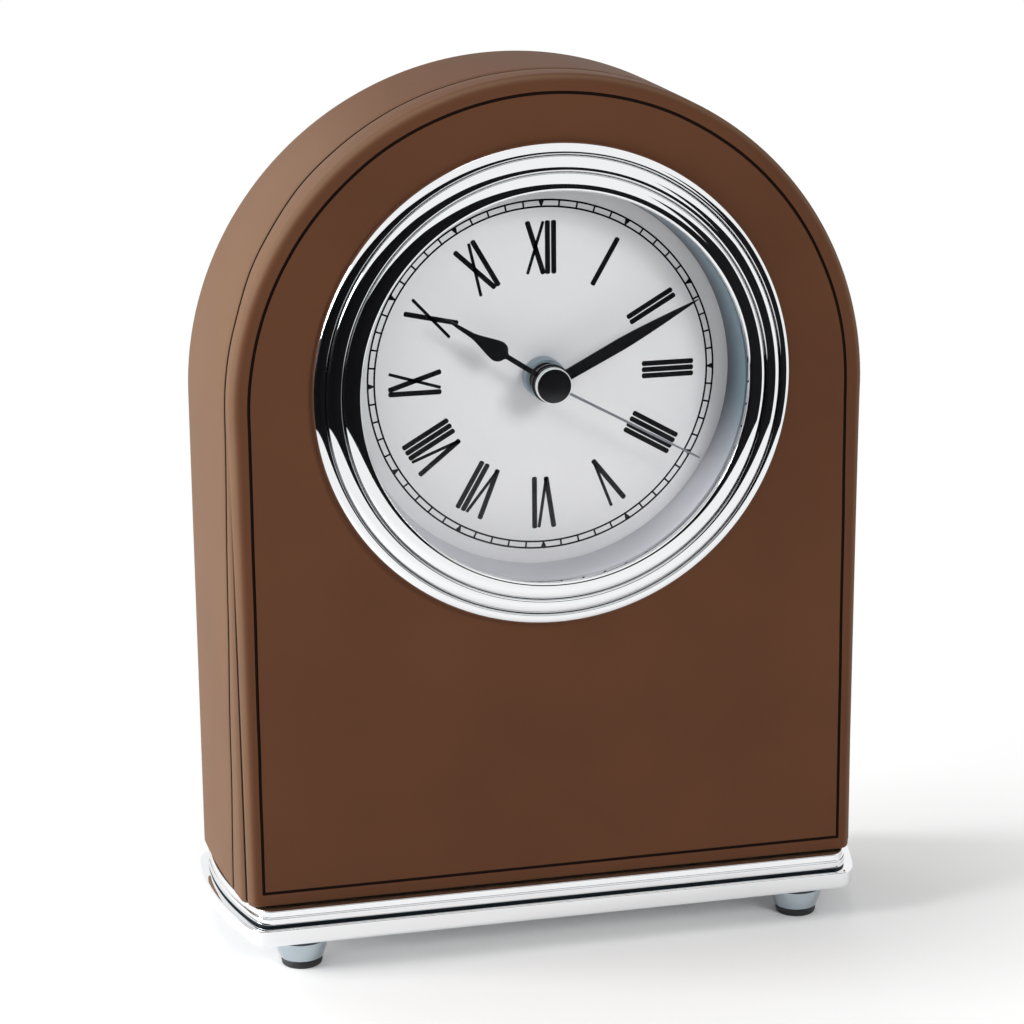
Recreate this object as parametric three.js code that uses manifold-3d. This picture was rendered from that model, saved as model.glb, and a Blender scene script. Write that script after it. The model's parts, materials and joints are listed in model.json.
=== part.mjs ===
import * as THREE from 'three';
import { mergeVertices } from 'three/addons/utils/BufferGeometryUtils.js';
import Module from 'manifold-3d';

// Desk clock: an arched case covered in leather, with a round dial in a beaded chrome bezel,
// on a stepped chrome base with four feet. Millimetres, +Z up, the dial faces -Y,
// and the feet stand on z = 0. Depths are given along Y, from the front (-) to the back (+).

// Case, covered in leather
const overallHeight = 158.75;
const caseHalfWidth = 57;
const flankBow = 2.5;
const caseDepth = 36;
const leatherThickness = 1;
const edgeRadius = 3;
const seamSetback = 6;
const seamGap = 0.35;
const borderInset = 3.14;
const borderWidth = 1;
const borderDepth = 0.35;
const boreRadius = 39.7;
const backWallThickness = 4;
const backOpeningRadius = 34;

// Base and feet
const baseThickness = 6.17;
const baseDepth = 42.8;
const baseFrontHalfWidth = 53.8;
const baseSideHalfWidth = 60.95;
const baseCornerRun = 5.6;
const baseCornerReach = 2.5;
const baseCornerWidth = 3.9;
const baseEndInset = 0.4;
const baseEndSwell = 0.6;
const baseRearReach = 0.8;
const baseRearRun = 5;
const bandHeight = 3.22;
const bandRadius = 0.7;
const grooveHeight = 0.45;
const grooveInset = 1.7;
const lowerStepHeight = 1.2;
const lowerStepInset = 1.2;
const upperStepInset = 2.2;
const stepRounding = 0.3;
const footHeight = 5.87;
const footTopRadius = 4.9;
const footNeckRadius = 3.85;
const footTaper = 1.6;
const footRim = 0.5;
const footInsetX = 14.08;
const footInsetY = 6.3;
const padRadius = 3.7;
const padHeight = 1.4;
const padChamfer = 0.3;
const padPlugRadius = 2.8;
const padPlugHeight = 1.3;
const screwSpacing = 60;
const screwHeadRadius = 3.2;
const screwHeadHeight = 1.7;
const screwRadius = 1.6;
const screwLength = 18;
const screwTipGap = 3;
const screwEdge = 0.4;
const screwSlotWidth = 0.8;
const screwSlotDepth = 0.6;

// Bezel, lens and dial
const dialAboveArchCentre = 2.51;
const bezelRadius = 43.1;
const bezelRise = 3.3;
const bezelEdgeHeight = 0.8;
const firstGrooveRadius = 40.95;
const secondGrooveRadius = 38.1;
const lipInnerRadius = 34.8;
const firstBeadRise = 2.1;
const secondBeadRise = 2.9;
const firstGrooveRise = 1.35;
const secondGrooveRise = 2.1;
const lipRise = 2.55;
const beadStep = 0.15;
const lipThickness = 0.45;
const lensRadius = 36.2;
const lensThickness = 1.2;
const skirtThickness = 0.95;
const skirtLength = 12;
const wallRingDepth = 8.9;
const wallRingThickness = 0.8;
const dialWindowRadius = 34.3;
const dialThickness = 0.4;
const dialHoleRadius = 2.9;
const gasketLength = 6;
const gasketSetback = 3;

// Movement housing
const housingRadius = 37.6;
const housingWall = 1.2;
const housingChamfer = 0.6;
const movementHalfWidth = 24.5;
const movementTop = 19.5;
const movementBottom = -23.6;
const movementDepth = 13.7;
const movementWall = 1.2;
const movementCorner = 2.5;
const frontPlateThickness = 1.5;
const rearWallThickness = 1.3;
const batteryRadius = 5.25;
const batteryLength = 43.5;
const batteryNubRadius = 1.9;
const batteryNubLength = 1;
const batteryEdge = 0.4;
const batterySink = 0.4;
const dividerThickness = 1.2;
const contactThickness = 0.3;
const contactWidth = 3;
const contactReach = 3.5;
const contactTab = 1.5;
const contactBulge = 0.35;

// Wheels: tooth counts, modules and the depth of each layer behind the front plate
const thirdModule = 0.4;
const secondPinionTeeth = 6;
const thirdWheelTeeth = 45;
const thirdPinionTeeth = 6;
const centreWheelTeeth = 48;
const secondModule = 0.6;
const secondWheelTeeth = 30;
const stepPinionTeeth = 6;
const rotorModule = 0.4;
const stepWheelTeeth = 36;
const rotorPinionTeeth = 6;
const cannonModule = 0.5;
const cannonPinionTeeth = 8;
const motionWheelTeeth = 24;
const hourModule = 0.4;
const motionPinionTeeth = 8;
const hourWheelTeeth = 32;
const setPinionTeeth = 12;
const thirdBearing = 160;
const stepBearing = 50;
const rotorBearing = 0;
const motionBearing = 0;
const setBearing = -20;
const wheelThickness = 0.8;
const pinionOverlap = 0.15;
const hourLayer = 0.5;
const motionLayer = 1.8;
const centreLayer = 3.2;
const thirdLayer = 5;
const coreLayer = 6;
const secondLayer = 7.1;
const stepLayer = 9.1;
const secondArborRadius = 0.45;
const minuteTubeWall = 0.4;
const hourPipeWall = 0.5;
const arborRadius = 0.45;
const pivotRadius = 0.3;
const pivotLength = 0.55;
const studRadius = 0.65;
const clutchReach = 0.7;
const clutchThickness = 0.3;
const setShaftRadius = 0.9;
const knobRadius = 4.2;
const knobHeight = 3.4;
const knobRibs = 10;
const knobRibDepth = 0.35;
const knobRibPoints = 4;
const knobRoof = 0.6;
const knobDishRadius = 3.1;
const knobDishFloorRadius = 2.4;
const knobDishDepth = 0.5;

// Motor
const magnetRadius = 2.6;
const magnetLength = 1.6;
const laminationThickness = 0.8;
const laminationWidth = 1.6;
const coreCorner = 0.3;
const statorRingRadius = 4.6;
const coilHeight = 15.4;
const coilRadius = 2.2;
const coilFlangeRadius = 2.4;
const coilLength = 13;
const coilFlangeThickness = 0.6;
const coreReach = 10;
const coreEndOffset = 2.9;
const postRadius = 1;
const rootOverlap = 0.5;
const boardWidth = 10.3;
const boardHeight = 26;
const boardThickness = 0.8;
const boardInset = 1.8;
const boardCorner = 0.5;
const boardPostInset = 3;
const boardBehindWheel = 0.5;
const chipRadius = 2;
const chipRise = 0.7;
const crystalDrop = 9;
const crystalRadius = 1;
const crystalLength = 6;
const crystalEdge = 0.3;

// Hands and cap
const hourHandAngle = 302;
const minuteHandAngle = 61.5;
const secondHandAngle = 116;
const hourHandLength = 22.6;
const hourHandStem = 1.15;
const hourHandBulbWidth = 4;
const hourHandBulbAt = 11;
const hourHandBulbRise = 2;
const hourHandTaper = 6.5;
const handPoint = 0.24;
const minuteHandLength = 31;
const minuteHandWidth = 2.3;
const minuteHandRoot = 0.9;
const minuteHandShoulder = 0.45;
const minuteHandTaper = 0.62;
const secondHandLength = 30.6;
const secondHandWidth = 0.4;
const handThickness = 0.3;
const hourHubRadius = 3.5;
const minuteHubRadius = 3.3;
const hubHeight = 0.7;
const handClearance = 0.15;
const handRise = 6.45;
const capRadius = 3.2;
const capHeight = 0.7;
const capRim = 0.35;
const capRecess = 0.28;
const capEdge = 0.1;

// Clearances
const seatGap = 0.1;
const fitGap = 0.05;
const runningGap = 0.1;
const slideGap = 0.2;
const skinGap = 0.15;
const endPlay = 0.2;

// Facets
const roundSteps = 32;
const hubSteps = 16;
const footSteps = 14;
const smallSteps = 12;
const arborSteps = 8;
const archSteps = 22;
const rollSteps = 3;
const beadSteps = 3;
const planSteps = 4;
const bowStations = 3;
const mergeDistance = 1e-4;

// Depths that follow from the sizes above
const dialHeight = overallHeight - caseHalfWidth + dialAboveArchCentre;
const frontY = -caseDepth / 2;
const backY = caseDepth / 2;
const leatherBottom = footHeight + baseThickness + skinGap;
const bezelBackY = frontY - seatGap;
const lipBackY = bezelBackY - lipRise + lipThickness;
const lensFrontY = lipBackY + seatGap;
const lensBackY = lensFrontY + lensThickness;
const wallRingFrontY = lensBackY + seatGap;
const wallRingBackY = wallRingFrontY + wallRingDepth;
const dialFrontY = wallRingBackY + seatGap;
const dialBackY = dialFrontY + dialThickness;
const plateFrontY = dialBackY + seatGap;
const plateBackY = plateFrontY + frontPlateThickness;
const movementBackY = plateFrontY + movementDepth;
const rearWallY = movementBackY - rearWallThickness;
const minuteTubeInner = secondArborRadius + runningGap;
const minuteTubeOuter = minuteTubeInner + minuteTubeWall;
const hourPipeInner = minuteTubeOuter + runningGap;
const hourPipeOuter = hourPipeInner + hourPipeWall;
const hourHandBackY = dialFrontY - handRise + hubHeight;
const hourHandFrontY = hourHandBackY - hubHeight;
const minuteHandBackY = hourHandFrontY - handClearance;
const minuteHandFrontY = minuteHandBackY - hubHeight;
const secondHandBackY = minuteHandFrontY - handClearance * 2;
const secondHandFrontY = secondHandBackY - handThickness;
const capBackY = secondHandFrontY - fitGap;
const capFrontY = capBackY - capHeight;
const skirtInner = housingRadius + skinGap;
const skirtOuter = skirtInner + skirtThickness;
const bayHeight = 2 * batteryRadius + 2 * skinGap;
const bayBottom = movementBottom + movementWall;
const bayTop = bayBottom + bayHeight;
const bayFloorY = movementBackY - bayHeight - batterySink;
const innerHalfWidth = movementHalfWidth - movementWall;
const boardFrontY = plateBackY + secondLayer + wheelThickness + boardBehindWheel;
const boardLeft = boardInset - innerHalfWidth;
const boardBottom = bayTop + dividerThickness + slideGap;
const boardTop = boardBottom + boardHeight;

const wasm = await Module();
wasm.setup();

// A closed solid from a three.js geometry.
function solid(geometry) {
  geometry.deleteAttribute('normal');
  geometry.deleteAttribute('uv');
  const merged = mergeVertices(geometry, mergeDistance);
  const corners = merged.index.array;
  const kept = [];
  for (let i = 0; i < corners.length; i += 3) {
    const [a, b, c] = corners.slice(i, i + 3);
    if (a !== b && b !== c && c !== a) kept.push(a, b, c);
  }
  return new wasm.Manifold(new wasm.Mesh({
    numProp: 3,
    vertProperties: new Float32Array(merged.getAttribute('position').array),
    triVerts: new Uint32Array(kept),
  }));
}

function join(...solids) {
  return solids.reduce((whole, piece) => whole.add(piece));
}

function cut(body, ...tools) {
  return tools.reduce((rest, tool) => rest.subtract(tool), body);
}

function geometryOf(body) {
  const mesh = body.getMesh();
  const geometry = new THREE.BufferGeometry();
  geometry.setAttribute('position', new THREE.BufferAttribute(mesh.vertProperties, 3));
  geometry.setIndex(new THREE.BufferAttribute(mesh.triVerts, 1));
  geometry.computeVertexNormals();
  return geometry;
}

// Turns a closed profile of [radius, depth] points round the Y axis.
function revolve(profile, steps = roundSteps) {
  const points = profile.map(([radius, depth]) => new THREE.Vector2(radius, depth));
  if (THREE.ShapeUtils.area(points) < 0) points.reverse();
  points.push(points[0].clone());
  return solid(new THREE.LatheGeometry(points, steps));
}

// The same round a vertical axis: points are [radius, height].
function revolveUpright(profile, steps = roundSteps) {
  const points = profile.map(([radius, height]) => new THREE.Vector2(radius, height));
  if (THREE.ShapeUtils.area(points) < 0) points.reverse();
  points.push(points[0].clone());
  return solid(new THREE.LatheGeometry(points, steps).rotateX(Math.PI / 2));
}

function cylinder(radius, fromY, toY, steps = smallSteps) {
  return revolve([[0, fromY], [radius, fromY], [radius, toY], [0, toY]], steps);
}

function tube(outer, inner, fromY, toY, steps = smallSteps) {
  return revolve([[inner, fromY], [outer, fromY], [outer, toY], [inner, toY]], steps);
}

// Extrudes a shape drawn as seen from the front, x right and z up, between two depths.
function slab(shape, fromY, toY) {
  const geometry = new THREE.ExtrudeGeometry(shape, {
    depth: toY - fromY,
    bevelEnabled: false,
    curveSegments: beadSteps,
  });
  return solid(geometry.rotateX(Math.PI / 2).translate(0, toY, 0));
}

function box(fromX, toX, fromY, toY, fromZ, toZ) {
  const geometry = new THREE.BoxGeometry(toX - fromX, toY - fromY, toZ - fromZ);
  return solid(geometry.translate((fromX + toX) / 2, (fromY + toY) / 2, (fromZ + toZ) / 2));
}

function roundedRectangle(left, right, bottom, top, radius) {
  const shape = new THREE.Shape();
  shape.moveTo(left + radius, bottom);
  shape.lineTo(right - radius, bottom);
  shape.quadraticCurveTo(right, bottom, right, bottom + radius);
  shape.lineTo(right, top - radius);
  shape.quadraticCurveTo(right, top, right - radius, top);
  shape.lineTo(left + radius, top);
  shape.quadraticCurveTo(left, top, left, top - radius);
  shape.lineTo(left, bottom + radius);
  shape.quadraticCurveTo(left, bottom, left + radius, bottom);
  return shape;
}

// Joins rings of equal length, each an array of THREE.Vector3, into one closed solid.
// Rings run counter-clockwise seen from where the first one faces; flat(point) gives
// the two coordinates that the end caps are filled in.
function loft(rings, flat) {
  const size = rings[0].length;
  const positions = rings.flat().flatMap((point) => point.toArray());
  const faces = [];
  for (let ring = 0; ring + 1 < rings.length; ring += 1) {
    for (let i = 0; i < size; i += 1) {
      const a = ring * size + i;
      const b = ring * size + ((i + 1) % size);
      faces.push(a, a + size, b + size, a, b + size, b);
    }
  }
  const last = (rings.length - 1) * size;
  THREE.ShapeUtils.triangulateShape(rings[0].map(flat), []).forEach(([a, b, c]) => {
    faces.push(a, b, c, last + a, last + c, last + b);
  });
  const geometry = new THREE.BufferGeometry();
  geometry.setAttribute('position', new THREE.Float32BufferAttribute(positions, 3));
  geometry.setIndex(faces);
  return solid(geometry);
}

// Half the case's width at one depth: the flanks bow outward toward the back, and run
// straight between a few stations so that the core and its leather stay parallel.
function flankReach(depth) {
  const place = ((depth - frontY) / caseDepth) * bowStations;
  const station = Math.min(Math.max(Math.floor(place), 0), bowStations - 1);
  const [from, to] = [station, station + 1].map((k) => 1 - (1 - k / bowStations) ** 2);
  return caseHalfWidth + flankBow * (from + (to - from) * (place - station));
}

// The case's outline at one depth, drawn in by an inset: flanks, level crown, flat bottom.
function archRing(depth, inset, bottom) {
  const reach = flankReach(depth);
  const radius = reach - inset;
  const centre = overallHeight - reach;
  const points = [new THREE.Vector3(-radius, depth, bottom), new THREE.Vector3(radius, depth, bottom)];
  for (let i = 0; i <= archSteps; i += 1) {
    const angle = (i / archSteps) * Math.PI;
    const x = radius * Math.cos(angle);
    points.push(new THREE.Vector3(x, depth, centre + radius * Math.sin(angle)));
  }
  return points;
}

function facingFront(point) {
  return new THREE.Vector2(point.x, point.z);
}

// The outline from one depth to another; rolled is the radius of a rounded front edge.
function archBody(fromY, toY, inset, bottom, rolled) {
  const rings = [];
  if (rolled > 0) {
    for (let i = 0; i < rollSteps; i += 1) {
      const angle = ((i / rollSteps) * Math.PI) / 2;
      const drawnIn = rolled * (1 - Math.sin(angle));
      rings.push(archRing(fromY + rolled * (1 - Math.cos(angle)), inset + drawnIn, bottom));
    }
  }
  const start = fromY + rolled;
  const depths = [start];
  for (let k = 1; k < bowStations; k += 1) {
    const depth = frontY + (k / bowStations) * caseDepth;
    if (depth > start && depth < toY) depths.push(depth);
  }
  depths.push(toY);
  depths.forEach((depth) => rings.push(archRing(depth, inset, bottom)));
  return loft(rings, facingFront);
}

// Case: the wooden core and its leather
function caseCore() {
  const inset = leatherThickness + fitGap;
  const radius = edgeRadius - leatherThickness;
  const outside = archBody(frontY + inset, backY - inset, inset, leatherBottom, radius);
  const bore = revolve([
    [0, frontY],
    [boreRadius, frontY],
    [boreRadius, backY - inset - backWallThickness],
    [backOpeningRadius, backY - inset - backWallThickness],
    [backOpeningRadius, backY],
    [0, backY],
  ]);
  const holes = [-1, 1].map((side) => screwHole(side));
  return cut(outside, bore.translate(0, 0, dialHeight), ...holes);
}

function screwHole(side) {
  const top = leatherBottom + screwLength;
  const profile = [
    [0, leatherBottom - 1],
    [screwRadius + fitGap, leatherBottom - 1],
    [screwRadius + fitGap, top],
    [0, top],
  ];
  return revolveUpright(profile, smallSteps).translate((side * screwSpacing) / 2, 0, 0);
}

function borderGroove() {
  const floorY = frontY + borderDepth;
  const ring = (inset) => loft(
    [frontY - 1, floorY].map((depth) => {
      const outline = archRing(frontY, inset, leatherBottom + inset - seamGap);
      return outline.map((point) => new THREE.Vector3(point.x, depth, point.z));
    }),
    facingFront,
  );
  return cut(ring(borderInset - borderWidth / 2), ring(borderInset + borderWidth / 2));
}

function frontCover() {
  const seamY = frontY + seamSetback;
  const outside = archBody(frontY, seamY, 0, leatherBottom, edgeRadius);
  const radius = edgeRadius - leatherThickness;
  const below = leatherBottom - leatherThickness;
  const inside = archBody(frontY + leatherThickness, seamY + 1, leatherThickness, below, radius);
  const opening = cylinder(boreRadius + slideGap, frontY - 1, seamY, roundSteps);
  return cut(outside, inside, opening.translate(0, 0, dialHeight), borderGroove());
}

function sideWrap() {
  const seamY = frontY + seamSetback + seamGap;
  const outside = archBody(seamY, backY, 0, leatherBottom + seamGap, 0);
  const below = leatherBottom - leatherThickness;
  const inside = archBody(seamY - 1, backY + 1, leatherThickness, below, 0);
  return cut(outside, inside);
}

function backPanel() {
  const inset = leatherThickness + fitGap;
  const panel = archBody(backY - leatherThickness, backY, inset, leatherBottom + fitGap, 0);
  const opening = cylinder(backOpeningRadius, frontY, backY + 1, roundSteps);
  return cut(panel, opening.translate(0, 0, dialHeight));
}

// Base: a stepped moulding over a plan with a straight front and bowed ends
function basePlan() {
  const half = baseDepth / 2;
  const corner = half - baseCornerRun;
  const side = baseSideHalfWidth;
  const plan = new THREE.Shape();
  plan.moveTo(baseFrontHalfWidth, -half);
  const start = baseFrontHalfWidth + baseCornerWidth;
  const end = side - baseEndInset;
  plan.quadraticCurveTo(baseFrontHalfWidth + baseCornerReach, -half, start, -corner);
  plan.bezierCurveTo(end, -corner / 3, side + baseEndSwell, corner / 3, end, corner);
  plan.quadraticCurveTo(side - baseRearReach, half, side - baseRearRun, half);
  return plan.getPoints(planSteps);
}

function baseRing(height, inset, quarter) {
  const scaleX = 1 - inset / baseSideHalfWidth;
  const scaleY = 1 - (2 * inset) / baseDepth;
  const right = quarter.map((point) => new THREE.Vector3(point.x * scaleX, point.y * scaleY, height));
  const left = right.map((point) => new THREE.Vector3(-point.x, point.y, height)).reverse();
  return [...right, ...left];
}

function basePlate() {
  const quarter = basePlan();
  const bottom = footHeight;
  const bandTop = bottom + bandHeight;
  const grooveTop = bandTop + grooveHeight;
  const stepTop = grooveTop + lowerStepHeight;
  const top = bottom + baseThickness;
  const levels = [];
  for (let i = 0; i <= rollSteps - 1; i += 1) {
    const angle = ((i / (rollSteps - 1)) * Math.PI) / 2;
    levels.push([bottom + bandRadius * (1 - Math.cos(angle)), bandRadius * (1 - Math.sin(angle))]);
  }
  for (let i = 0; i <= rollSteps - 1; i += 1) {
    const angle = ((i / (rollSteps - 1)) * Math.PI) / 2;
    levels.push([bandTop - bandRadius * (1 - Math.sin(angle)), bandRadius * (1 - Math.cos(angle))]);
  }
  levels.push([bandTop, grooveInset]);
  levels.push([grooveTop, grooveInset]);
  levels.push([grooveTop, lowerStepInset + stepRounding]);
  levels.push([grooveTop + stepRounding, lowerStepInset]);
  levels.push([stepTop - stepRounding, lowerStepInset]);
  levels.push([stepTop, lowerStepInset + stepRounding]);
  levels.push([stepTop, upperStepInset]);
  levels.push([top - stepRounding, upperStepInset]);
  levels.push([top, upperStepInset + stepRounding]);
  const rings = levels.map(([height, inset]) => baseRing(height, inset, quarter));
  const body = loft(rings.reverse(), (point) => new THREE.Vector2(point.x, point.y));
  const recesses = [-1, 1].map((side) => revolveUpright([
    [0, bottom - 1],
    [screwHeadRadius + slideGap, bottom - 1],
    [screwHeadRadius + slideGap, bottom + screwHeadHeight + seatGap],
    [screwRadius + slideGap, bottom + screwHeadHeight + seatGap],
    [screwRadius + slideGap, top + 1],
    [0, top + 1],
  ], smallSteps).translate((side * screwSpacing) / 2, 0, 0));
  return cut(body, ...recesses);
}

function baseScrew() {
  const half = screwSlotWidth / 2;
  const slot = box(-screwHeadRadius, screwHeadRadius, -half, half, -1, screwSlotDepth);
  const top = screwHeadHeight + screwLength - screwTipGap;
  return cut(revolveUpright([
    [0, 0],
    [screwHeadRadius - screwEdge, 0],
    [screwHeadRadius, screwEdge],
    [screwHeadRadius, screwHeadHeight],
    [screwRadius, screwHeadHeight],
    [screwRadius, top - screwRadius],
    [0, top],
  ], smallSteps), slot);
}

function footCup() {
  const top = footHeight - seatGap;
  const rim = top - footRim;
  const bottom = padHeight + fitGap;
  const profile = [[0, top], [footTopRadius, top]];
  for (let i = 1; i <= beadSteps; i += 1) {
    const share = i / beadSteps;
    const radius = footTopRadius - (footTopRadius - footNeckRadius) * share ** footTaper;
    profile.push([radius, rim - (rim - bottom) * share]);
  }
  const socketTop = bottom + padPlugHeight + seatGap;
  profile.push([padPlugRadius + fitGap, bottom], [padPlugRadius + fitGap, socketTop], [0, socketTop]);
  return revolveUpright(profile, footSteps);
}

function footPad() {
  return revolveUpright([
    [0, 0],
    [padRadius - padChamfer, 0],
    [padRadius, padChamfer],
    [padRadius, padHeight],
    [padPlugRadius, padHeight],
    [padPlugRadius, padHeight + padPlugHeight],
    [0, padHeight + padPlugHeight],
  ], footSteps);
}

// Points of a bead between two radii: it rises from one height to another over its crest.
function bead(outer, inner, outerRise, innerRise, crestRise) {
  const points = [];
  for (let i = 0; i <= beadSteps; i += 1) {
    const share = i / beadSteps;
    const foot = outerRise + (innerRise - outerRise) * share;
    const swell = Math.sin(share * Math.PI) * (crestRise - (outerRise + innerRise) / 2);
    const radius = (outer + inner) / 2 + ((outer - inner) / 2) * Math.cos(share * Math.PI);
    points.push([radius, bezelBackY - foot - swell]);
  }
  return points;
}

function bezel() {
  const recess = lensRadius + slideGap;
  const shoulderY = lensBackY + seatGap / 2;
  const secondBeadRadius = firstGrooveRadius - beadStep;
  const thirdBeadRadius = secondGrooveRadius - beadStep;
  return revolve([
    [bezelRadius, bezelBackY],
    ...bead(bezelRadius, firstGrooveRadius, bezelEdgeHeight, firstGrooveRise, firstBeadRise),
    ...bead(secondBeadRadius, secondGrooveRadius, firstGrooveRise, secondGrooveRise, secondBeadRise),
    ...bead(thirdBeadRadius, lipInnerRadius, secondGrooveRise, lipRise, bezelRise),
    [lipInnerRadius, lipBackY],
    [recess, lipBackY],
    [recess, shoulderY],
    [skirtInner, shoulderY],
    [skirtInner, frontY + skirtLength],
    [skirtOuter, frontY + skirtLength],
    [skirtOuter, bezelBackY],
  ]);
}

function lens() {
  return cylinder(lensRadius, lensFrontY, lensBackY, roundSteps);
}

function wallRing() {
  const outer = skirtInner - skinGap;
  const flange = wallRingThickness;
  return revolve([
    [lipInnerRadius, wallRingFrontY],
    [outer, wallRingFrontY],
    [outer, wallRingFrontY + flange],
    [lipInnerRadius + wallRingThickness, wallRingFrontY + flange],
    [dialWindowRadius + wallRingThickness, wallRingBackY - flange],
    [outer, wallRingBackY - flange],
    [outer, wallRingBackY],
    [dialWindowRadius, wallRingBackY],
  ]);
}

function dial() {
  const disc = cylinder(skirtInner - skinGap, dialFrontY, dialBackY, roundSteps);
  return cut(disc, cylinder(dialHoleRadius, dialFrontY - 1, dialBackY + 1, hubSteps));
}

function housing() {
  const floorY = movementBackY + seatGap;
  const cup = revolve([
    [0, floorY],
    [housingRadius - housingWall, floorY],
    [housingRadius - housingWall, plateFrontY],
    [housingRadius, plateFrontY],
    [housingRadius, floorY + housingWall - housingChamfer],
    [housingRadius - housingChamfer, floorY + housingWall],
    [0, floorY + housingWall],
  ]);
  const half = innerHalfWidth + seatGap;
  const top = movementTop - movementWall;
  const outline = roundedRectangle(-half, half, bayBottom - seatGap, top, movementWall);
  return cut(cup, slab(outline, floorY - 1, floorY + housingWall + 1));
}

function gasket() {
  const inner = skirtOuter + fitGap;
  const crest = boreRadius - skinGap;
  const start = frontY + gasketSetback;
  const pitch = gasketLength / 2;
  const valley = (inner + crest) / 2;
  return revolve([
    [inner, start],
    [crest, start + pitch * 0.5],
    [valley, start + pitch],
    [crest, start + pitch * 1.5],
    [inner, start + gasketLength],
  ]);
}

// Wheels: tooth flanks are straight, drawn thin enough to leave backlash
const wheelForm = { addendum: 0.85, dedendum: 1.2, rootShare: 0.66, tipShare: 0.24 };
const pinionForm = { addendum: 0.75, dedendum: 1.15, rootShare: 0.42, tipShare: 0.3 };

function pitchRadius(teeth, module) {
  return (teeth * module) / 2;
}

// One gear between two depths, with a tooth centred at the angle called phase.
function gear(teeth, module, form, phase, fromY, toY) {
  const tip = pitchRadius(teeth, module) + form.addendum * module;
  const root = pitchRadius(teeth, module) - form.dedendum * module;
  const halfArc = (Math.PI * module) / 2;
  const points = [];
  for (let i = 0; i < teeth; i += 1) {
    const middle = phase + (i * 2 * Math.PI) / teeth;
    const corners = [
      [root, -(halfArc * form.rootShare) / root],
      [tip, -(halfArc * form.tipShare) / tip],
      [tip, (halfArc * form.tipShare) / tip],
      [root, (halfArc * form.rootShare) / root],
    ];
    corners.forEach(([radius, turn]) => {
      const angle = middle + turn;
      points.push(new THREE.Vector2(radius * Math.cos(angle), radius * Math.sin(angle)));
    });
  }
  return slab(new THREE.Shape(points), fromY, toY);
}

// The phase of a gear that meshes with another, whose centre bears from it at an angle.
function meshedPhase(otherTeeth, otherPhase, bearing, teeth) {
  const pitches = ((bearing - otherPhase) * otherTeeth) / (2 * Math.PI);
  return bearing + Math.PI + ((2 * Math.PI) / teeth) * (pitches - 0.5);
}

function polar(distance, degrees) {
  const angle = THREE.MathUtils.degToRad(degrees);
  return new THREE.Vector2(distance * Math.cos(angle), distance * Math.sin(angle));
}

// Layout of the arbors round the dial's centre, x right and z up
const thirdDistance = pitchRadius(secondPinionTeeth + thirdWheelTeeth, thirdModule);
const centreModule = (2 * thirdDistance) / (thirdPinionTeeth + centreWheelTeeth);
const stepDistance = pitchRadius(secondWheelTeeth + stepPinionTeeth, secondModule);
const rotorDistance = pitchRadius(stepWheelTeeth + rotorPinionTeeth, rotorModule);
const motionDistance = pitchRadius(cannonPinionTeeth + motionWheelTeeth, cannonModule);
const setDistance = pitchRadius(motionWheelTeeth + setPinionTeeth, cannonModule);
const thirdAxis = polar(thirdDistance, thirdBearing);
const stepAxis = polar(stepDistance, stepBearing);
const rotorAxis = polar(rotorDistance, rotorBearing).add(stepAxis);
const motionAxis = polar(motionDistance, motionBearing);
const setAxis = polar(setDistance, setBearing).add(motionAxis);

// The depths that one layer's wheel or pinion takes up.
function layerSpan(layer, extra) {
  const start = plateBackY + layer;
  return [start - extra, start + wheelThickness + extra];
}

// An arbor from the front plate to the rear wall, with a pivot at each end.
function pivotedArbor(radius) {
  const start = plateBackY + endPlay;
  const end = rearWallY - endPlay;
  return revolve([
    [0, start - pivotLength],
    [pivotRadius, start - pivotLength],
    [pivotRadius, start],
    [radius, start],
    [radius, end],
    [pivotRadius, end],
    [pivotRadius, end + pivotLength],
    [0, end + pivotLength],
  ], arborSteps);
}

function pivotHole(axis, fromY) {
  const depth = pivotLength;
  const hole = cylinder(pivotRadius + runningGap, fromY - depth, fromY + depth);
  return hole.translate(axis.x, 0, axis.y);
}

function centreWheel() {
  const teeth = gear(centreWheelTeeth, centreModule, wheelForm, 0, ...layerSpan(centreLayer, 0));
  const bore = cylinder(minuteTubeOuter + fitGap, ...layerSpan(centreLayer, 1));
  return cut(teeth, bore);
}

function thirdWheel() {
  const bearing = THREE.MathUtils.degToRad(thirdBearing);
  const phase = meshedPhase(centreWheelTeeth, 0, bearing, thirdPinionTeeth);
  const leaves = layerSpan(centreLayer, pinionOverlap);
  return join(
    gear(thirdWheelTeeth, thirdModule, wheelForm, 0, ...layerSpan(thirdLayer, 0)),
    gear(thirdPinionTeeth, centreModule, pinionForm, phase, ...leaves),
    pivotedArbor(arborRadius),
  );
}

function secondWheel() {
  const bearing = THREE.MathUtils.degToRad(thirdBearing) + Math.PI;
  const phase = meshedPhase(thirdWheelTeeth, 0, bearing, secondPinionTeeth);
  const end = rearWallY - endPlay;
  const arbor = revolve([
    [0, capBackY - capHeight / 2],
    [secondArborRadius, capBackY - capHeight / 2],
    [secondArborRadius, end],
    [pivotRadius, end],
    [pivotRadius, end + pivotLength],
    [0, end + pivotLength],
  ], arborSteps);
  return join(
    arbor,
    gear(secondWheelTeeth, secondModule, wheelForm, 0, ...layerSpan(secondLayer, 0)),
    gear(secondPinionTeeth, thirdModule, pinionForm, phase, ...layerSpan(thirdLayer, pinionOverlap)),
  );
}

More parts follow.
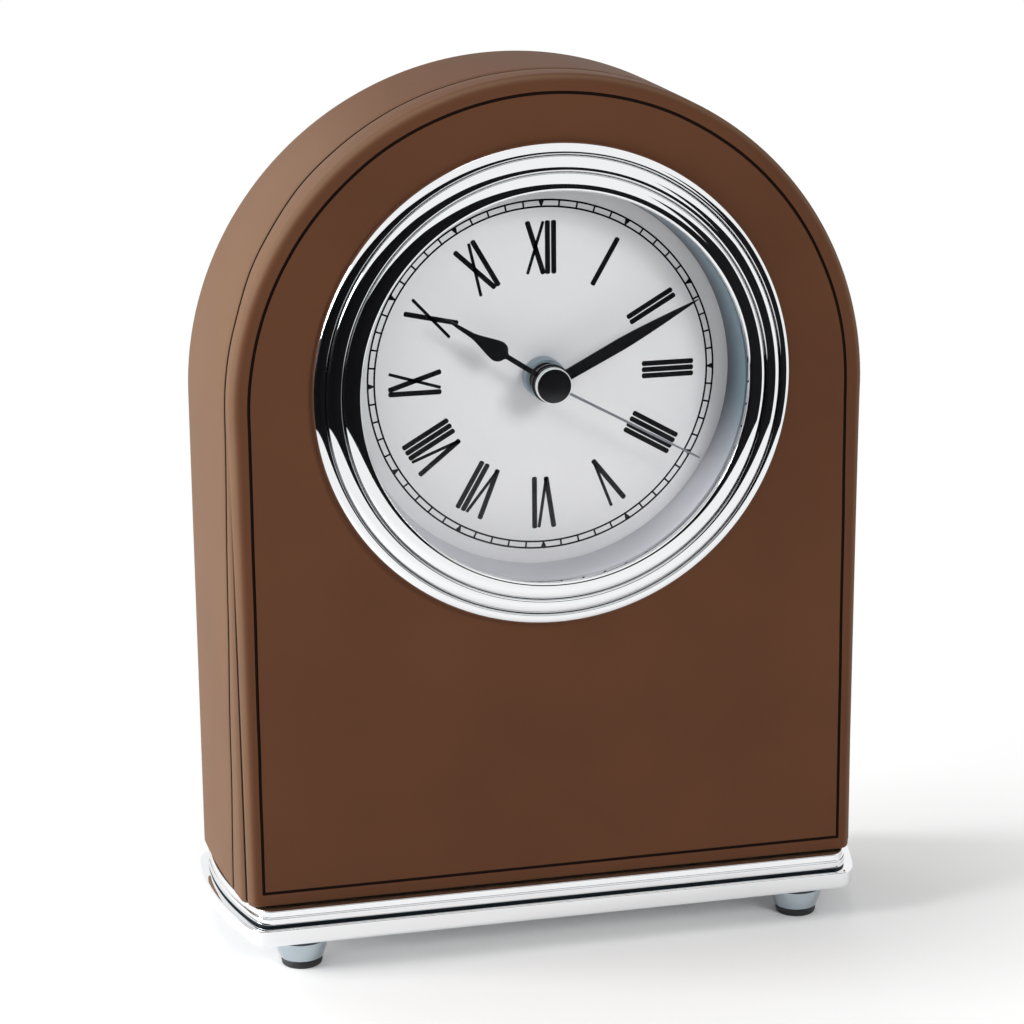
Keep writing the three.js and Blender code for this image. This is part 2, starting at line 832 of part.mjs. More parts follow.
function stepWheel() {
  const bearing = THREE.MathUtils.degToRad(stepBearing);
  const phase = meshedPhase(secondWheelTeeth, 0, bearing, stepPinionTeeth);
  const leaves = layerSpan(secondLayer, pinionOverlap);
  return join(
    gear(stepWheelTeeth, rotorModule, wheelForm, 0, ...layerSpan(stepLayer, 0)),
    gear(stepPinionTeeth, secondModule, pinionForm, phase, ...leaves),
    pivotedArbor(arborRadius),
  );
}

function rotorPinion() {
  const bearing = THREE.MathUtils.degToRad(rotorBearing);
  const phase = meshedPhase(stepWheelTeeth, 0, bearing, rotorPinionTeeth);
  const leaves = layerSpan(stepLayer, pinionOverlap);
  return join(gear(rotorPinionTeeth, rotorModule, pinionForm, phase, ...leaves), pivotedArbor(arborRadius));
}

const statorBackY = plateBackY + coreLayer + 2 * laminationThickness + fitGap;

function rotorMagnet() {
  const middle = statorBackY - laminationThickness / 2;
  const half = magnetLength / 2;
  return tube(magnetRadius, arborRadius + fitGap, middle - half, middle + half, hubSteps);
}

// The tube that carries the minute hand, with the cannon pinion and a flange behind
// the centre wheel, which drives it by friction.
function minuteArbor() {
  const [, wheelBack] = layerSpan(centreLayer, 0);
  const flangeY = wheelBack + fitGap;
  const body = join(
    cylinder(minuteTubeOuter, minuteHandFrontY - fitGap, flangeY + clutchThickness / 2),
    cylinder(minuteTubeOuter + clutchReach, flangeY, flangeY + clutchThickness),
    gear(cannonPinionTeeth, cannonModule, pinionForm, 0, ...layerSpan(motionLayer, pinionOverlap)),
  );
  return cut(body, cylinder(minuteTubeInner, minuteHandFrontY - 1, flangeY + 1));
}

const motionPhase = meshedPhase(
  cannonPinionTeeth,
  0,
  THREE.MathUtils.degToRad(motionBearing),
  motionWheelTeeth,
);

function motionWheel() {
  const [wheelFront, wheelBack] = layerSpan(motionLayer, 0);
  const [leafFront] = layerSpan(hourLayer, pinionOverlap);
  const body = join(
    gear(motionWheelTeeth, cannonModule, wheelForm, motionPhase, wheelFront, wheelBack),
    gear(motionPinionTeeth, hourModule, pinionForm, 0, leafFront, wheelFront + pinionOverlap),
  );
  return cut(body, cylinder(studRadius + runningGap, leafFront - 1, wheelBack + 1));
}

function hourWheel() {
  const bearing = THREE.MathUtils.degToRad(motionBearing) + Math.PI;
  const phase = meshedPhase(motionPinionTeeth, 0, bearing, hourWheelTeeth);
  const [, wheelBack] = layerSpan(hourLayer, 0);
  const body = join(
    gear(hourWheelTeeth, hourModule, wheelForm, phase, ...layerSpan(hourLayer, 0)),
    cylinder(hourPipeOuter, hourHandFrontY - fitGap, wheelBack),
  );
  return cut(body, cylinder(hourPipeInner, hourHandFrontY - 1, wheelBack + 1));
}

function setArbor() {
  const bearing = THREE.MathUtils.degToRad(setBearing);
  const phase = meshedPhase(motionWheelTeeth, motionPhase, bearing, setPinionTeeth);
  const start = plateBackY + endPlay;
  const end = movementBackY + knobHeight - knobRoof;
  return join(
    gear(setPinionTeeth, cannonModule, pinionForm, phase, ...layerSpan(motionLayer, pinionOverlap)),
    revolve([
      [0, start - pivotLength],
      [pivotRadius, start - pivotLength],
      [pivotRadius, start],
      [setShaftRadius, start],
      [setShaftRadius, end],
      [0, end],
    ], arborSteps),
  );
}

// The setting knob has finger ribs round its rim and a blind socket for the shaft.
function setKnob() {
  const start = movementBackY + slideGap;
  const end = start + knobHeight;
  const steps = knobRibs * knobRibPoints;
  const rim = [];
  for (let i = 0; i < steps; i += 1) {
    const angle = (i / steps) * 2 * Math.PI;
    const radius = knobRadius - knobRibDepth * (1 - Math.cos(angle * knobRibs)) / 2;
    rim.push(new THREE.Vector2(radius * Math.cos(angle), radius * Math.sin(angle)));
  }
  const socket = cylinder(setShaftRadius + fitGap, start - 1, end - knobRoof);
  const dish = revolve([
    [0, end - knobDishDepth],
    [knobDishFloorRadius, end - knobDishDepth],
    [knobDishRadius, end + seatGap],
    [0, end + seatGap],
  ], hubSteps);
  return cut(slab(new THREE.Shape(rim), start, end), socket, dish);
}

// Movement: front plate, moulded case, motor, board, contacts and battery
function movementFront() {
  const plate = slab(
    roundedRectangle(-movementHalfWidth, movementHalfWidth, movementBottom, movementTop, movementCorner),
    plateFrontY,
    plateBackY,
  );
  const boss = cylinder(dialHoleRadius - skinGap, dialFrontY, plateFrontY + rootOverlap, hubSteps);
  const [, motionBack] = layerSpan(motionLayer, 0);
  const stud = cylinder(studRadius, plateBackY - rootOverlap, motionBack + endPlay);
  const body = join(plate, boss, stud.translate(motionAxis.x, 0, motionAxis.y));
  const holes = [thirdAxis, stepAxis, rotorAxis, setAxis].map((axis) => pivotHole(axis, plateBackY));
  return cut(body, cylinder(hourPipeOuter + runningGap, dialFrontY - 1, plateBackY + 1), ...holes);
}

function movementCase() {
  const frontEdge = plateBackY + fitGap;
  const outside = slab(
    roundedRectangle(-movementHalfWidth, movementHalfWidth, movementBottom, movementTop, movementCorner),
    frontEdge,
    movementBackY,
  );
  const roof = movementTop - movementWall;
  const works = box(-innerHalfWidth, innerHalfWidth, frontEdge - 1, rearWallY, bayTop + dividerThickness, roof);
  const bay = box(-innerHalfWidth, innerHalfWidth, bayFloorY, movementBackY + 1, bayBottom, bayTop);
  const slots = [-1, 1].map((side) => {
    const inner = side * (innerHalfWidth - contactThickness - 2 * fitGap);
    const outer = side * innerHalfWidth;
    const half = contactWidth / 2 + fitGap;
    const middle = (bayFloorY + movementBackY) / 2;
    const ends = [Math.min(inner, outer), Math.max(inner, outer)];
    return box(...ends, middle - half, middle + half, bayTop - 1, bayTop + dividerThickness + 1);
  });
  const shaft = cylinder(setShaftRadius + runningGap, rearWallY - 1, movementBackY + 1);
  const holes = [thirdAxis, stepAxis, rotorAxis, new THREE.Vector2(0, 0)];
  const posts = postPlaces().map(([x, z, frontEnd]) => {
    return cylinder(postRadius, frontEnd, rearWallY + rootOverlap).translate(x, 0, z);
  });
  return cut(
    join(cut(outside, works, bay), ...posts),
    shaft.translate(setAxis.x, 0, setAxis.y),
    ...slots,
    ...holes.map((axis) => pivotHole(axis, rearWallY)),
  );
}

// Posts on the rear wall that carry the board and the ends of the stator.
function postPlaces() {
  const boardMiddle = boardLeft + boardWidth / 2;
  const boardBackY = boardFrontY + boardThickness;
  const laps = lapPlaces().map(([x, z]) => [x, z, statorBackY + fitGap]);
  return [
    ...laps,
    [boardMiddle, boardBottom + boardPostInset, boardBackY + fitGap],
    [boardMiddle, boardTop - boardPostInset, boardBackY + fitGap],
  ];
}

function lapPlaces() {
  return [
    [-coreReach + laminationWidth / 2, coilHeight],
    [rotorAxis.x + coreEndOffset, coilHeight],
  ];
}

function coilCore() {
  const start = plateBackY + coreLayer;
  const [[left], [right]] = lapPlaces();
  const half = laminationWidth / 2;
  const outline = roundedRectangle(left - half, right + half, coilHeight - half, coilHeight + half, coreCorner);
  return slab(outline, start, start + laminationThickness);
}

// The stator: a ring round the rotor with an arm to each end of the core.
function stator() {
  const fromY = statorBackY - laminationThickness;
  const [[left], [right]] = lapPlaces();
  const half = laminationWidth / 2;
  const top = coilHeight + half;
  const armTop = coilHeight - coilFlangeRadius - runningGap;
  const armBottom = armTop - laminationWidth;
  const ring = cylinder(statorRingRadius, fromY, statorBackY, hubSteps).translate(rotorAxis.x, 0, rotorAxis.y);
  const hole = cylinder(magnetRadius + 4 * runningGap, fromY - 1, statorBackY + 1, hubSteps);
  const leftLap = box(left - half, left + half, fromY, statorBackY, armBottom, top);
  const arm = box(left - half, rotorAxis.x - 1, fromY, statorBackY, armBottom, armTop);
  const rightLap = box(right - half, right + half, fromY, statorBackY, rotorAxis.y, top);
  const body = join(ring, leftLap, arm, rightLap);
  return cut(body, hole.translate(rotorAxis.x, 0, rotorAxis.y));
}

// The winding on its bobbin, turned round the X axis, with a square way through for the core.
function coil() {
  const half = coilLength / 2;
  const inner = half - coilFlangeThickness;
  const profile = [
    [0, -half],
    [coilFlangeRadius, -half],
    [coilFlangeRadius, -inner],
    [coilRadius, -inner],
    [coilRadius, inner],
    [coilFlangeRadius, inner],
    [coilFlangeRadius, half],
    [0, half],
  ];
  const points = profile.map(([radius, along]) => new THREE.Vector2(radius, along));
  if (THREE.ShapeUtils.area(points) < 0) points.reverse();
  points.push(points[0].clone());
  const spool = solid(new THREE.LatheGeometry(points, hubSteps).rotateZ(Math.PI / 2));
  const thick = laminationThickness / 2 + runningGap;
  const wide = laminationWidth / 2 + runningGap;
  const way = box(-half - 1, half + 1, -thick, thick, -wide, wide);
  return cut(spool, way).translate(0, plateBackY + coreLayer + laminationThickness / 2, coilHeight);
}

function circuitBoard() {
  const right = boardLeft + boardWidth;
  const outline = roundedRectangle(boardLeft, right, boardBottom, boardTop, boardCorner);
  const board = slab(outline, boardFrontY, boardFrontY + boardThickness);
  const chip = revolve([
    [0, -chipRise],
    [chipRadius * 0.6, -chipRise * 0.85],
    [chipRadius, seatGap],
    [0, seatGap],
  ], hubSteps);
  return join(board, chip.translate((boardLeft + right) / 2, boardFrontY, (boardBottom + boardTop) / 2));
}

function crystal() {
  const can = revolveUpright([
    [0, 0],
    [crystalRadius, 0],
    [crystalRadius, crystalLength - crystalEdge],
    [crystalRadius - crystalEdge, crystalLength],
    [0, crystalLength],
  ], smallSteps);
  const x = boardLeft + boardWidth / 2;
  return can.translate(x, boardFrontY - crystalRadius - fitGap, boardTop - crystalDrop);
}

const batteryY = movementBackY - batterySink - batteryRadius;
const batteryZ = (bayBottom + bayTop) / 2;

// The cell lies along X; its nub points to +X.
function battery() {
  const half = (batteryLength + batteryNubLength) / 2;
  const shoulder = half - batteryNubLength;
  const profile = [
    [0, -half],
    [batteryRadius - batteryEdge, -half],
    [batteryRadius, -half + batteryEdge],
    [batteryRadius, shoulder - batteryEdge],
    [batteryRadius - batteryEdge, shoulder],
    [batteryNubRadius, shoulder],
    [batteryNubRadius, half],
    [0, half],
  ];
  const points = profile.map(([radius, along]) => new THREE.Vector2(radius, along));
  if (THREE.ShapeUtils.area(points) < 0) points.reverse();
  points.push(points[0].clone());
  return solid(new THREE.LatheGeometry(points, hubSteps).rotateZ(-Math.PI / 2));
}

// A contact strip at one end of the bay: side is 1 at the nub and -1 at the flat end.
// The strip at the flat end is bent inward as a spring.
function contact(side) {
  const wallX = innerHalfWidth - fitGap;
  const face = wallX - contactThickness;
  const springReach = (2 * innerHalfWidth - batteryLength - batteryNubLength) / 2 - seatGap;
  const bend = side < 0 ? springReach : contactBulge;
  const tabTop = bayTop + dividerThickness + contactTab;
  const shape = new THREE.Shape();
  shape.moveTo(wallX, tabTop);
  shape.lineTo(face, tabTop);
  shape.lineTo(face, batteryZ + contactReach);
  shape.lineTo(wallX - bend, batteryZ);
  shape.lineTo(face, batteryZ - contactReach);
  shape.lineTo(wallX, batteryZ - contactReach);
  const middle = (bayFloorY + movementBackY) / 2;
  const strip = slab(shape, middle - contactWidth / 2, middle + contactWidth / 2);
  return side > 0 ? strip : strip.mirror([1, 0, 0]);
}

// Hands are drawn pointing up, right half first, and turned to their angle where they are placed.
function mirrored(half) {
  return join(half, half.mirror([1, 0, 0]));
}

function hourHand() {
  const half = hourHandStem / 2;
  const wide = hourHandBulbWidth / 2;
  const start = hourHandBulbAt - hourHandBulbRise;
  const waist = hourHandBulbAt + hourHandTaper;
  const neck = half * 0.7;
  const shape = new THREE.Shape();
  shape.moveTo(half, 0);
  shape.lineTo(half, start);
  shape.quadraticCurveTo(wide, start, wide, hourHandBulbAt);
  shape.bezierCurveTo(wide, hourHandBulbAt + hourHandBulbRise, half, waist - hourHandBulbRise, neck, waist);
  shape.lineTo(handPoint / 2, hourHandLength);
  shape.lineTo(0, hourHandLength);
  shape.lineTo(0, 0);
  const blade = mirrored(slab(shape, hourHandBackY - handThickness, hourHandBackY));
  const hub = cylinder(hourHubRadius, hourHandFrontY, hourHandBackY, hubSteps);
  return cut(join(hub, blade), cylinder(hourPipeOuter + fitGap, hourHandFrontY - 1, hourHandBackY + 1));
}

function minuteHand() {
  const half = minuteHandWidth / 2;
  const shape = new THREE.Shape();
  shape.moveTo(half * minuteHandRoot, 0);
  shape.lineTo(half, minuteHandLength * minuteHandShoulder);
  shape.quadraticCurveTo(half, minuteHandLength * minuteHandTaper, handPoint / 2, minuteHandLength);
  shape.lineTo(0, minuteHandLength);
  shape.lineTo(0, 0);
  const blade = mirrored(slab(shape, minuteHandBackY - handThickness, minuteHandBackY));
  const hub = cylinder(minuteHubRadius, minuteHandFrontY, minuteHandBackY, hubSteps);
  const bore = cylinder(minuteTubeOuter + fitGap, minuteHandFrontY - 1, minuteHandBackY + 1);
  return cut(join(hub, blade), bore);
}

function secondHand() {
  const half = secondHandWidth / 2;
  const shape = new THREE.Shape();
  shape.moveTo(half * 1.5, 0);
  shape.lineTo(half, secondHandLength);
  shape.lineTo(-half, secondHandLength);
  shape.lineTo(-half * 1.5, 0);
  const blade = slab(shape, secondHandFrontY, secondHandBackY);
  const hub = cylinder(capRadius - capRim, secondHandFrontY, secondHandBackY, hubSteps);
  return cut(join(hub, blade), cylinder(secondArborRadius + fitGap, secondHandFrontY - 1, secondHandBackY + 1));
}

// The cap over the hands: a bright cup, and a dark disc let into its face.
function cap() {
  const seatY = capFrontY + capRecess;
  const inner = capRadius - capRim;
  const body = revolve([
    [0, seatY],
    [inner, seatY],
    [inner, capFrontY + capEdge],
    [inner + capEdge, capFrontY],
    [capRadius - capEdge, capFrontY],
    [capRadius, capFrontY + capEdge],
    [capRadius, capBackY],
    [0, capBackY],
  ], hubSteps);
  return cut(body, cylinder(secondArborRadius + fitGap, seatY + fitGap, capBackY + 1));
}

function capFace() {
  const seatY = capFrontY + capRecess;
  return cylinder(capRadius - capRim - fitGap, capFrontY, seatY - fitGap, hubSteps);
}

const finishes = {
  wood: { color: 0x8a6a48, roughness: 0.8, metalness: 0 },
  leather: { color: 0x5e402e, roughness: 0.6, metalness: 0 },
  chrome: { color: 0xd8dadd, roughness: 0.08, metalness: 1 },
  rubber: { color: 0x17181a, roughness: 0.8, metalness: 0 },
  glass: { color: 0xf4f8fa, roughness: 0.03, metalness: 0 },
  paleWall: { color: 0xb4bcc6, roughness: 0.35, metalness: 0.2 },
  dialFace: { color: 0xd9d9dc, roughness: 0.5, metalness: 0 },
  blackPlastic: { color: 0x1c1c1e, roughness: 0.5, metalness: 0 },
  palePlastic: { color: 0xe6e3d8, roughness: 0.5, metalness: 0 },
  brass: { color: 0xb8923c, roughness: 0.3, metalness: 1 },
  steel: { color: 0x9a9da2, roughness: 0.35, metalness: 1 },
  copper: { color: 0xa8552c, roughness: 0.4, metalness: 1 },
  boardGreen: { color: 0x2c5a3a, roughness: 0.5, metalness: 0 },
  handBlack: { color: 0x0c0c0e, roughness: 0.35, metalness: 0.2 },
};

// Adds one named mesh to a group, at a place along x and z.
function add(group, name, body, finish, x = 0, z = 0) {
  const mesh = new THREE.Mesh(geometryOf(body), new THREE.MeshStandardMaterial(finishes[finish]));
  mesh.name = name;
  mesh.position.set(x, 0, z);
  group.add(mesh);
  return mesh;
}

function addCase(group) {
  add(group, 'case_core', caseCore(), 'wood');
  add(group, 'front_cover', frontCover(), 'leather');
  add(group, 'side_wrap', sideWrap(), 'leather');
  add(group, 'back_panel', backPanel(), 'leather');
}

function addBase(group) {
  add(group, 'base_plate', basePlate(), 'chrome');
  [['left', -1], ['right', 1]].forEach(([side, sideways]) => {
    const screw = add(group, `base_screw_${side}`, baseScrew(), 'steel', (sideways * screwSpacing) / 2);
    screw.position.z = footHeight;
    [['front', -1], ['rear', 1]].forEach(([end, endways]) => {
      const x = sideways * (baseSideHalfWidth - footInsetX);
      const cup = add(group, `foot_cup_${end}_${side}`, footCup(), 'chrome', x);
      const pad = add(group, `foot_pad_${end}_${side}`, footPad(), 'rubber', x);
      cup.position.y = endways * (baseDepth / 2 - footInsetY);
      pad.position.y = cup.position.y;
    });
  });
}

function addFace(group) {
  add(group, 'bezel', bezel(), 'chrome');
  add(group, 'lens', lens(), 'glass');
  add(group, 'wall_ring', wallRing(), 'paleWall');
  add(group, 'dial', dial(), 'dialFace');
  add(group, 'housing', housing(), 'blackPlastic');
  add(group, 'gasket', gasket(), 'rubber');
}

function addMovement(group) {
  add(group, 'movement_front', movementFront(), 'blackPlastic');
  add(group, 'movement_case', movementCase(), 'blackPlastic');
  add(group, 'coil_core', coilCore(), 'steel');
  add(group, 'coil', coil(), 'copper');
  add(group, 'stator', stator(), 'steel');
  add(group, 'circuit_board', circuitBoard(), 'boardGreen');
  add(group, 'crystal', crystal(), 'steel');
  add(group, 'contact_plus', contact(1), 'steel');
  add(group, 'contact_minus', contact(-1), 'steel');
  const cell = add(group, 'battery', battery(), 'steel', 0, batteryZ);
  cell.position.y = batteryY;
}

function addWheels(group) {
  add(group, 'second_wheel', secondWheel(), 'palePlastic');
  add(group, 'third_wheel', thirdWheel(), 'palePlastic', thirdAxis.x, thirdAxis.y);
  add(group, 'centre_wheel', centreWheel(), 'palePlastic');
  add(group, 'step_wheel', stepWheel(), 'palePlastic', stepAxis.x, stepAxis.y);
  add(group, 'rotor_pinion', rotorPinion(), 'palePlastic', rotorAxis.x, rotorAxis.y);
  add(group, 'rotor_magnet', rotorMagnet(), 'steel', rotorAxis.x, rotorAxis.y);
  add(group, 'minute_arbor', minuteArbor(), 'brass');
  add(group, 'motion_wheel', motionWheel(), 'palePlastic', motionAxis.x, motionAxis.y);
  add(group, 'hour_wheel', hourWheel(), 'palePlastic');
  add(group, 'set_arbor', setArbor(), 'palePlastic', setAxis.x, setAxis.y);
  add(group, 'set_knob', setKnob(), 'blackPlastic', setAxis.x, setAxis.y);
}

function addHands(group) {
  const turned = (hand, angle) => {
    hand.rotation.y = THREE.MathUtils.degToRad(angle);
  };
  turned(add(group, 'hour_hand', hourHand(), 'handBlack'), hourHandAngle);
  turned(add(group, 'minute_hand', minuteHand(), 'handBlack'), minuteHandAngle);
  turned(add(group, 'second_hand', secondHand(), 'steel'), secondHandAngle);
  add(group, 'cap', cap(), 'chrome');
  add(group, 'cap_face', capFace(), 'handBlack');
}

const clock = new THREE.Group();
clock.name = 'dome_clock';
addCase(clock);
addBase(clock);

// Everything that comes out of the case as one insert, centred on the dial.
const insert = new THREE.Group();
insert.position.z = dialHeight;
addFace(insert);
addMovement(insert);
addWheels(insert);
addHands(insert);
clock.add(insert);

export default clock;
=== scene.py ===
import json
import math

import bmesh
import bpy
from mathutils import Matrix, Vector, noise


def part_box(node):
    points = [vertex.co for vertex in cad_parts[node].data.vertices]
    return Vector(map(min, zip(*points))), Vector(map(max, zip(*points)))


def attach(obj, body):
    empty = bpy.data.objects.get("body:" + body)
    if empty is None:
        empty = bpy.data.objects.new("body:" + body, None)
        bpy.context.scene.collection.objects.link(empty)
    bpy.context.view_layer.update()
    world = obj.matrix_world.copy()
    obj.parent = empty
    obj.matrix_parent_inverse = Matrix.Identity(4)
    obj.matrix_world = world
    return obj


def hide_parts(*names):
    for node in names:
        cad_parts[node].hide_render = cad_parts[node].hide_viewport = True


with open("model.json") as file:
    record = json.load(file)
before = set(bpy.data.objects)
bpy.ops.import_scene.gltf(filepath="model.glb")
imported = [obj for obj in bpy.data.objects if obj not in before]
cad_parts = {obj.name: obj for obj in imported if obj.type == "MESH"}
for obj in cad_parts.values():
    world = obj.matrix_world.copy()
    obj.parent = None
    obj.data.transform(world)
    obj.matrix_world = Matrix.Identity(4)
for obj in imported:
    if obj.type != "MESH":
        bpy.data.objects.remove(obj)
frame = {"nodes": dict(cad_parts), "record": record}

# Looks of the dome clock: leather over an arched case, a stepped chrome base, a beaded
# bezel, the dial and its hands. Lengths are metres; MM turns millimetres into metres.

bl_info = {
    "name": "Dome Clock Looks",
    "version": (1, 0, 0),
    "blender": (4, 5, 0),
    "location": "3D View > Sidebar > Dome Clock",
    "description": "Builds the leather, chrome, dial and hands of an arched desk clock",
    "category": "Object",
}

MM = 0.001

# Places taken from the solids
COVER_LOW, COVER_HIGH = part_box("front_cover")
WRAP_LOW, WRAP_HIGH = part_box("side_wrap")
BASE_LOW, BASE_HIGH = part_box("base_plate")
LENS_LOW, LENS_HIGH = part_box("lens")
WALL_LOW, WALL_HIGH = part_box("wall_ring")
DIAL_LOW, DIAL_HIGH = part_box("dial")
BEZEL_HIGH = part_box("bezel")[1]

FRONT_Y = COVER_LOW.y
BACK_Y = WRAP_HIGH.y
CROWN_Z = COVER_HIGH.z
LEATHER_BOTTOM = COVER_LOW.z
FRONT_HALF_WIDTH = 57 * MM
BACK_HALF_WIDTH = WRAP_HIGH.x
DIAL_Z = (DIAL_LOW.z + DIAL_HIGH.z) / 2
BEZEL_RADIUS = BEZEL_HIGH.x
LIP_RADIUS = 34.8 * MM

# Facets of the smooth pieces
ROUND_STEPS = 192
SMALL_STEPS = 48
ARCH_STEPS = 120
FLANK_STEPS = 28
BOTTOM_STEPS = 40
CORNER_STEPS = 4


# Settings

def number_value(name, description, default, **limits):
    """A number that a user can change, with its unit or its limits."""
    return bpy.props.FloatProperty(
        name=name, description=description, default=default, **limits)


def length_value(name, description, millimetres):
    """A length that a user can change."""
    return number_value(name, description, millimetres * MM, unit="LENGTH")


def colour_value(name, description, *channels):
    """A colour that a user can change."""
    return bpy.props.FloatVectorProperty(
        name=name, description=description, subtype="COLOR", size=3, min=0, max=1,
        default=channels)


class LeatherSettings(bpy.types.PropertyGroup):
    """The leather that covers the case."""

    colour: colour_value("Leather", "Colour of the leather", 0.100, 0.0410, 0.0210)
    # The side and crown colours are painted light: the flanks and rolled edge paler for light from
    # the left, the crown darker than them for less light on top.
    side_lit_colour: colour_value(
        "Side leather", "Colour of the leather on the flanks and the rolled edge",
        0.135, 0.076, 0.046)
    crown_shaded_colour: colour_value(
        "Crown leather", "Colour of the leather on top of the arch", 0.105, 0.046, 0.023)
    # The border ink also colours the painted crease shadow and the seam's tucked edges.
    ink: colour_value("Border ink", "Colour of the line round the front", 0.012, 0.006, 0.004)
    back_colour: colour_value(
        "Back leather", "Colour of the leather on the back", 0.092, 0.038, 0.019)
    edge_roll: length_value("Edge roll", "Radius of the leather round the front edge", 1.7)
    seam_setback: length_value("Seam setback", "Distance of the seam behind the front", 6)
    seam_gap: length_value("Seam gap", "Width of the gap between the two leathers", 0.75)
    seam_wander: length_value("Seam wander", "How far the seam strays from a true line", 0.25)
    pinch: length_value("Pinch", "Depth of the crease behind the lower front edge", 1.1)
    border_inset: length_value("Border inset", "Distance of the line from the outline", 3.14)
    border_width: length_value("Border width", "Width of the line", 0.56)
    border_depth: length_value("Border depth", "Depth of the groove that holds the line", 0.35)
    corner: length_value("Corner", "Rounding of the lower corners", 0.8)
    grain: length_value("Grain", "Size of the leather's pebbles", 0.9)


class ChromeSettings(bpy.types.PropertyGroup):
    """The base, the feet and the bezel."""

    colour: colour_value("Chrome", "Colour of the plating", 0.86, 0.87, 0.88)
    # The cups' chrome is painted darker, as painted shade for the dark underside that they mirror.
    foot_shaded_colour: colour_value(
        "Foot chrome", "Colour of the cups, which see the dark underside", 0.46, 0.52, 0.56)
    roughness: number_value("Roughness", "Blur of the reflections", 0.035, min=0, max=1)
    band_height: length_value("Band height", "Height of the lower band", 3.22)
    groove_height: length_value("Groove height", "Height of the groove over the band", 0.45)
    step_height: length_value("Step height", "Height of the lower step", 1.25)


class DialSettings(bpy.types.PropertyGroup):
    """The dial and what is printed on it."""

    paper: colour_value("Dial", "Colour of the dial", 0.77, 0.77, 0.785)
    wall: colour_value("Wall", "Colour of the ring round the dial", 0.12, 0.18, 0.22)
    # The deep and lower colours of the wall are painted shade and painted light: darker where the
    # ring meets the dial, paler on its lower part.
    wall_shade_colour: colour_value(
        "Deep wall", "Colour of the ring where it meets the dial", 0.025, 0.045, 0.06)
    wall_lit_colour: colour_value(
        "Wall foot", "Colour of the lower part of the ring", 0.62, 0.62, 0.67)
    ink: colour_value("Ink", "Colour of the numerals and hands", 0.006, 0.006, 0.008)
    numeral_foot: length_value("Numeral foot", "Radius where the numerals begin", 18.6)
    numeral_height: length_value("Numeral height", "Height of the numerals", 9.0)
    thick_stroke: length_value("Thick stroke", "Width of a numeral's thick stroke", 0.92)
    thin_stroke: length_value("Thin stroke", "Width of a numeral's thin stroke", 0.56)
    track_outer: length_value("Track outside", "Radius of the minute track's outer circle", 31.54)
    track_inner: length_value("Track inside", "Radius of the minute track's inner circle", 30.36)
    track_line: length_value("Track line", "Width of the track's lines", 0.32)


class StageSettings(bpy.types.PropertyGroup):
    """The floor, lights and camera of the photograph."""

    floor_colour: colour_value("Floor", "Colour of the floor", 0.94, 0.94, 0.94)
    camera_distance: length_value(
        "Camera distance", "From the middle of the clock to the camera", 574.23)
    camera_yaw: number_value(
        "Camera yaw", "Turn of the camera to the clock's left", 0.243738, unit="ROTATION")
    camera_pitch: number_value(
        "Camera pitch", "Angle of the camera above level", 0.260417, unit="ROTATION")
    camera_roll: number_value(
        "Camera roll", "Turn of the camera about its own line of sight", 0.0081466,
        unit="ROTATION")
    lens: number_value("Focal length", "On a 36 mm sensor, in millimetres", 110.83)
    key_power: number_value("Key light", "Power of the large light", 6.5, unit="POWER")
    fill_power: number_value("Fill light", "Power of the light on the left", 17, unit="POWER")
    top_power: number_value("Top light", "Power of the light above and behind", 3.5, unit="POWER")
    sky: number_value("Sky", "Brightness of the white surroundings", 0.43, min=0)


class SlotMaterial(bpy.types.PropertyGroup):
    """Which material stands for a slot of the record."""

    material: bpy.props.StringProperty(
        name="Material", description="Name of the material", default="")


# Materials

def shade(colour, factor=1):
    """The colour made darker or lighter, as the four numbers of a socket."""
    return (*[min(1.0, channel * factor) for channel in colour], 1.0)


def connect(tree, node, sockets):
    """Gives each named input of a node a value, or links it to the output that feeds it."""
    for name, value in sockets.items():
        if isinstance(value, bpy.types.NodeSocket):
            tree.links.new(value, node.inputs[name])
        else:
            node.inputs[name].default_value = value


def set_shader(tree, sockets):
    """Connects inputs of a material's own shader."""
    connect(tree, tree.nodes["Principled BSDF"], sockets)


def add_node(tree, kind, sockets=None, **settings):
    """A new node with its settings made and its inputs connected."""
    node = tree.nodes.new(kind)
    for name, value in settings.items():
        setattr(node, name, value)
    connect(tree, node, sockets or {})
    return node


def new_material(name):
    """A node material, its node tree and the object's own coordinates."""
    material = bpy.data.materials.new(name)
    material.use_nodes = True
    tree = material.node_tree
    return material, tree, add_node(tree, "ShaderNodeTexCoord").outputs["Object"]


def add_noise(tree, place, grain, detail=3.0, stretch=(1, 1, 1)):
    """Noise with grains of a size in metres; stretch makes them longer along an axis."""
    mapping = add_node(tree, "ShaderNodeMapping", {
        "Vector": place, "Scale": [1 / along for along in stretch]})
    return add_node(tree, "ShaderNodeTexNoise", {
        "Vector": mapping.outputs["Vector"], "Scale": 1 / grain, "Detail": detail}).outputs["Fac"]


def add_ramp(tree, factor, low, high, start=0.3, end=0.7):
    """Colours between two ends, driven by a factor."""
    ramp = add_node(tree, "ShaderNodeValToRGB", {"Fac": factor})
    for element, place, colour in zip(ramp.color_ramp.elements, (start, end), (low, high)):
        element.position, element.color = place, colour
    return ramp.outputs["Color"]


def add_range(tree, factor, low, high):
    """Numbers between two ends, driven by a factor."""
    return add_node(tree, "ShaderNodeMapRange", {
        "Value": factor, "To Min": low, "To Max": high}).outputs["Result"]


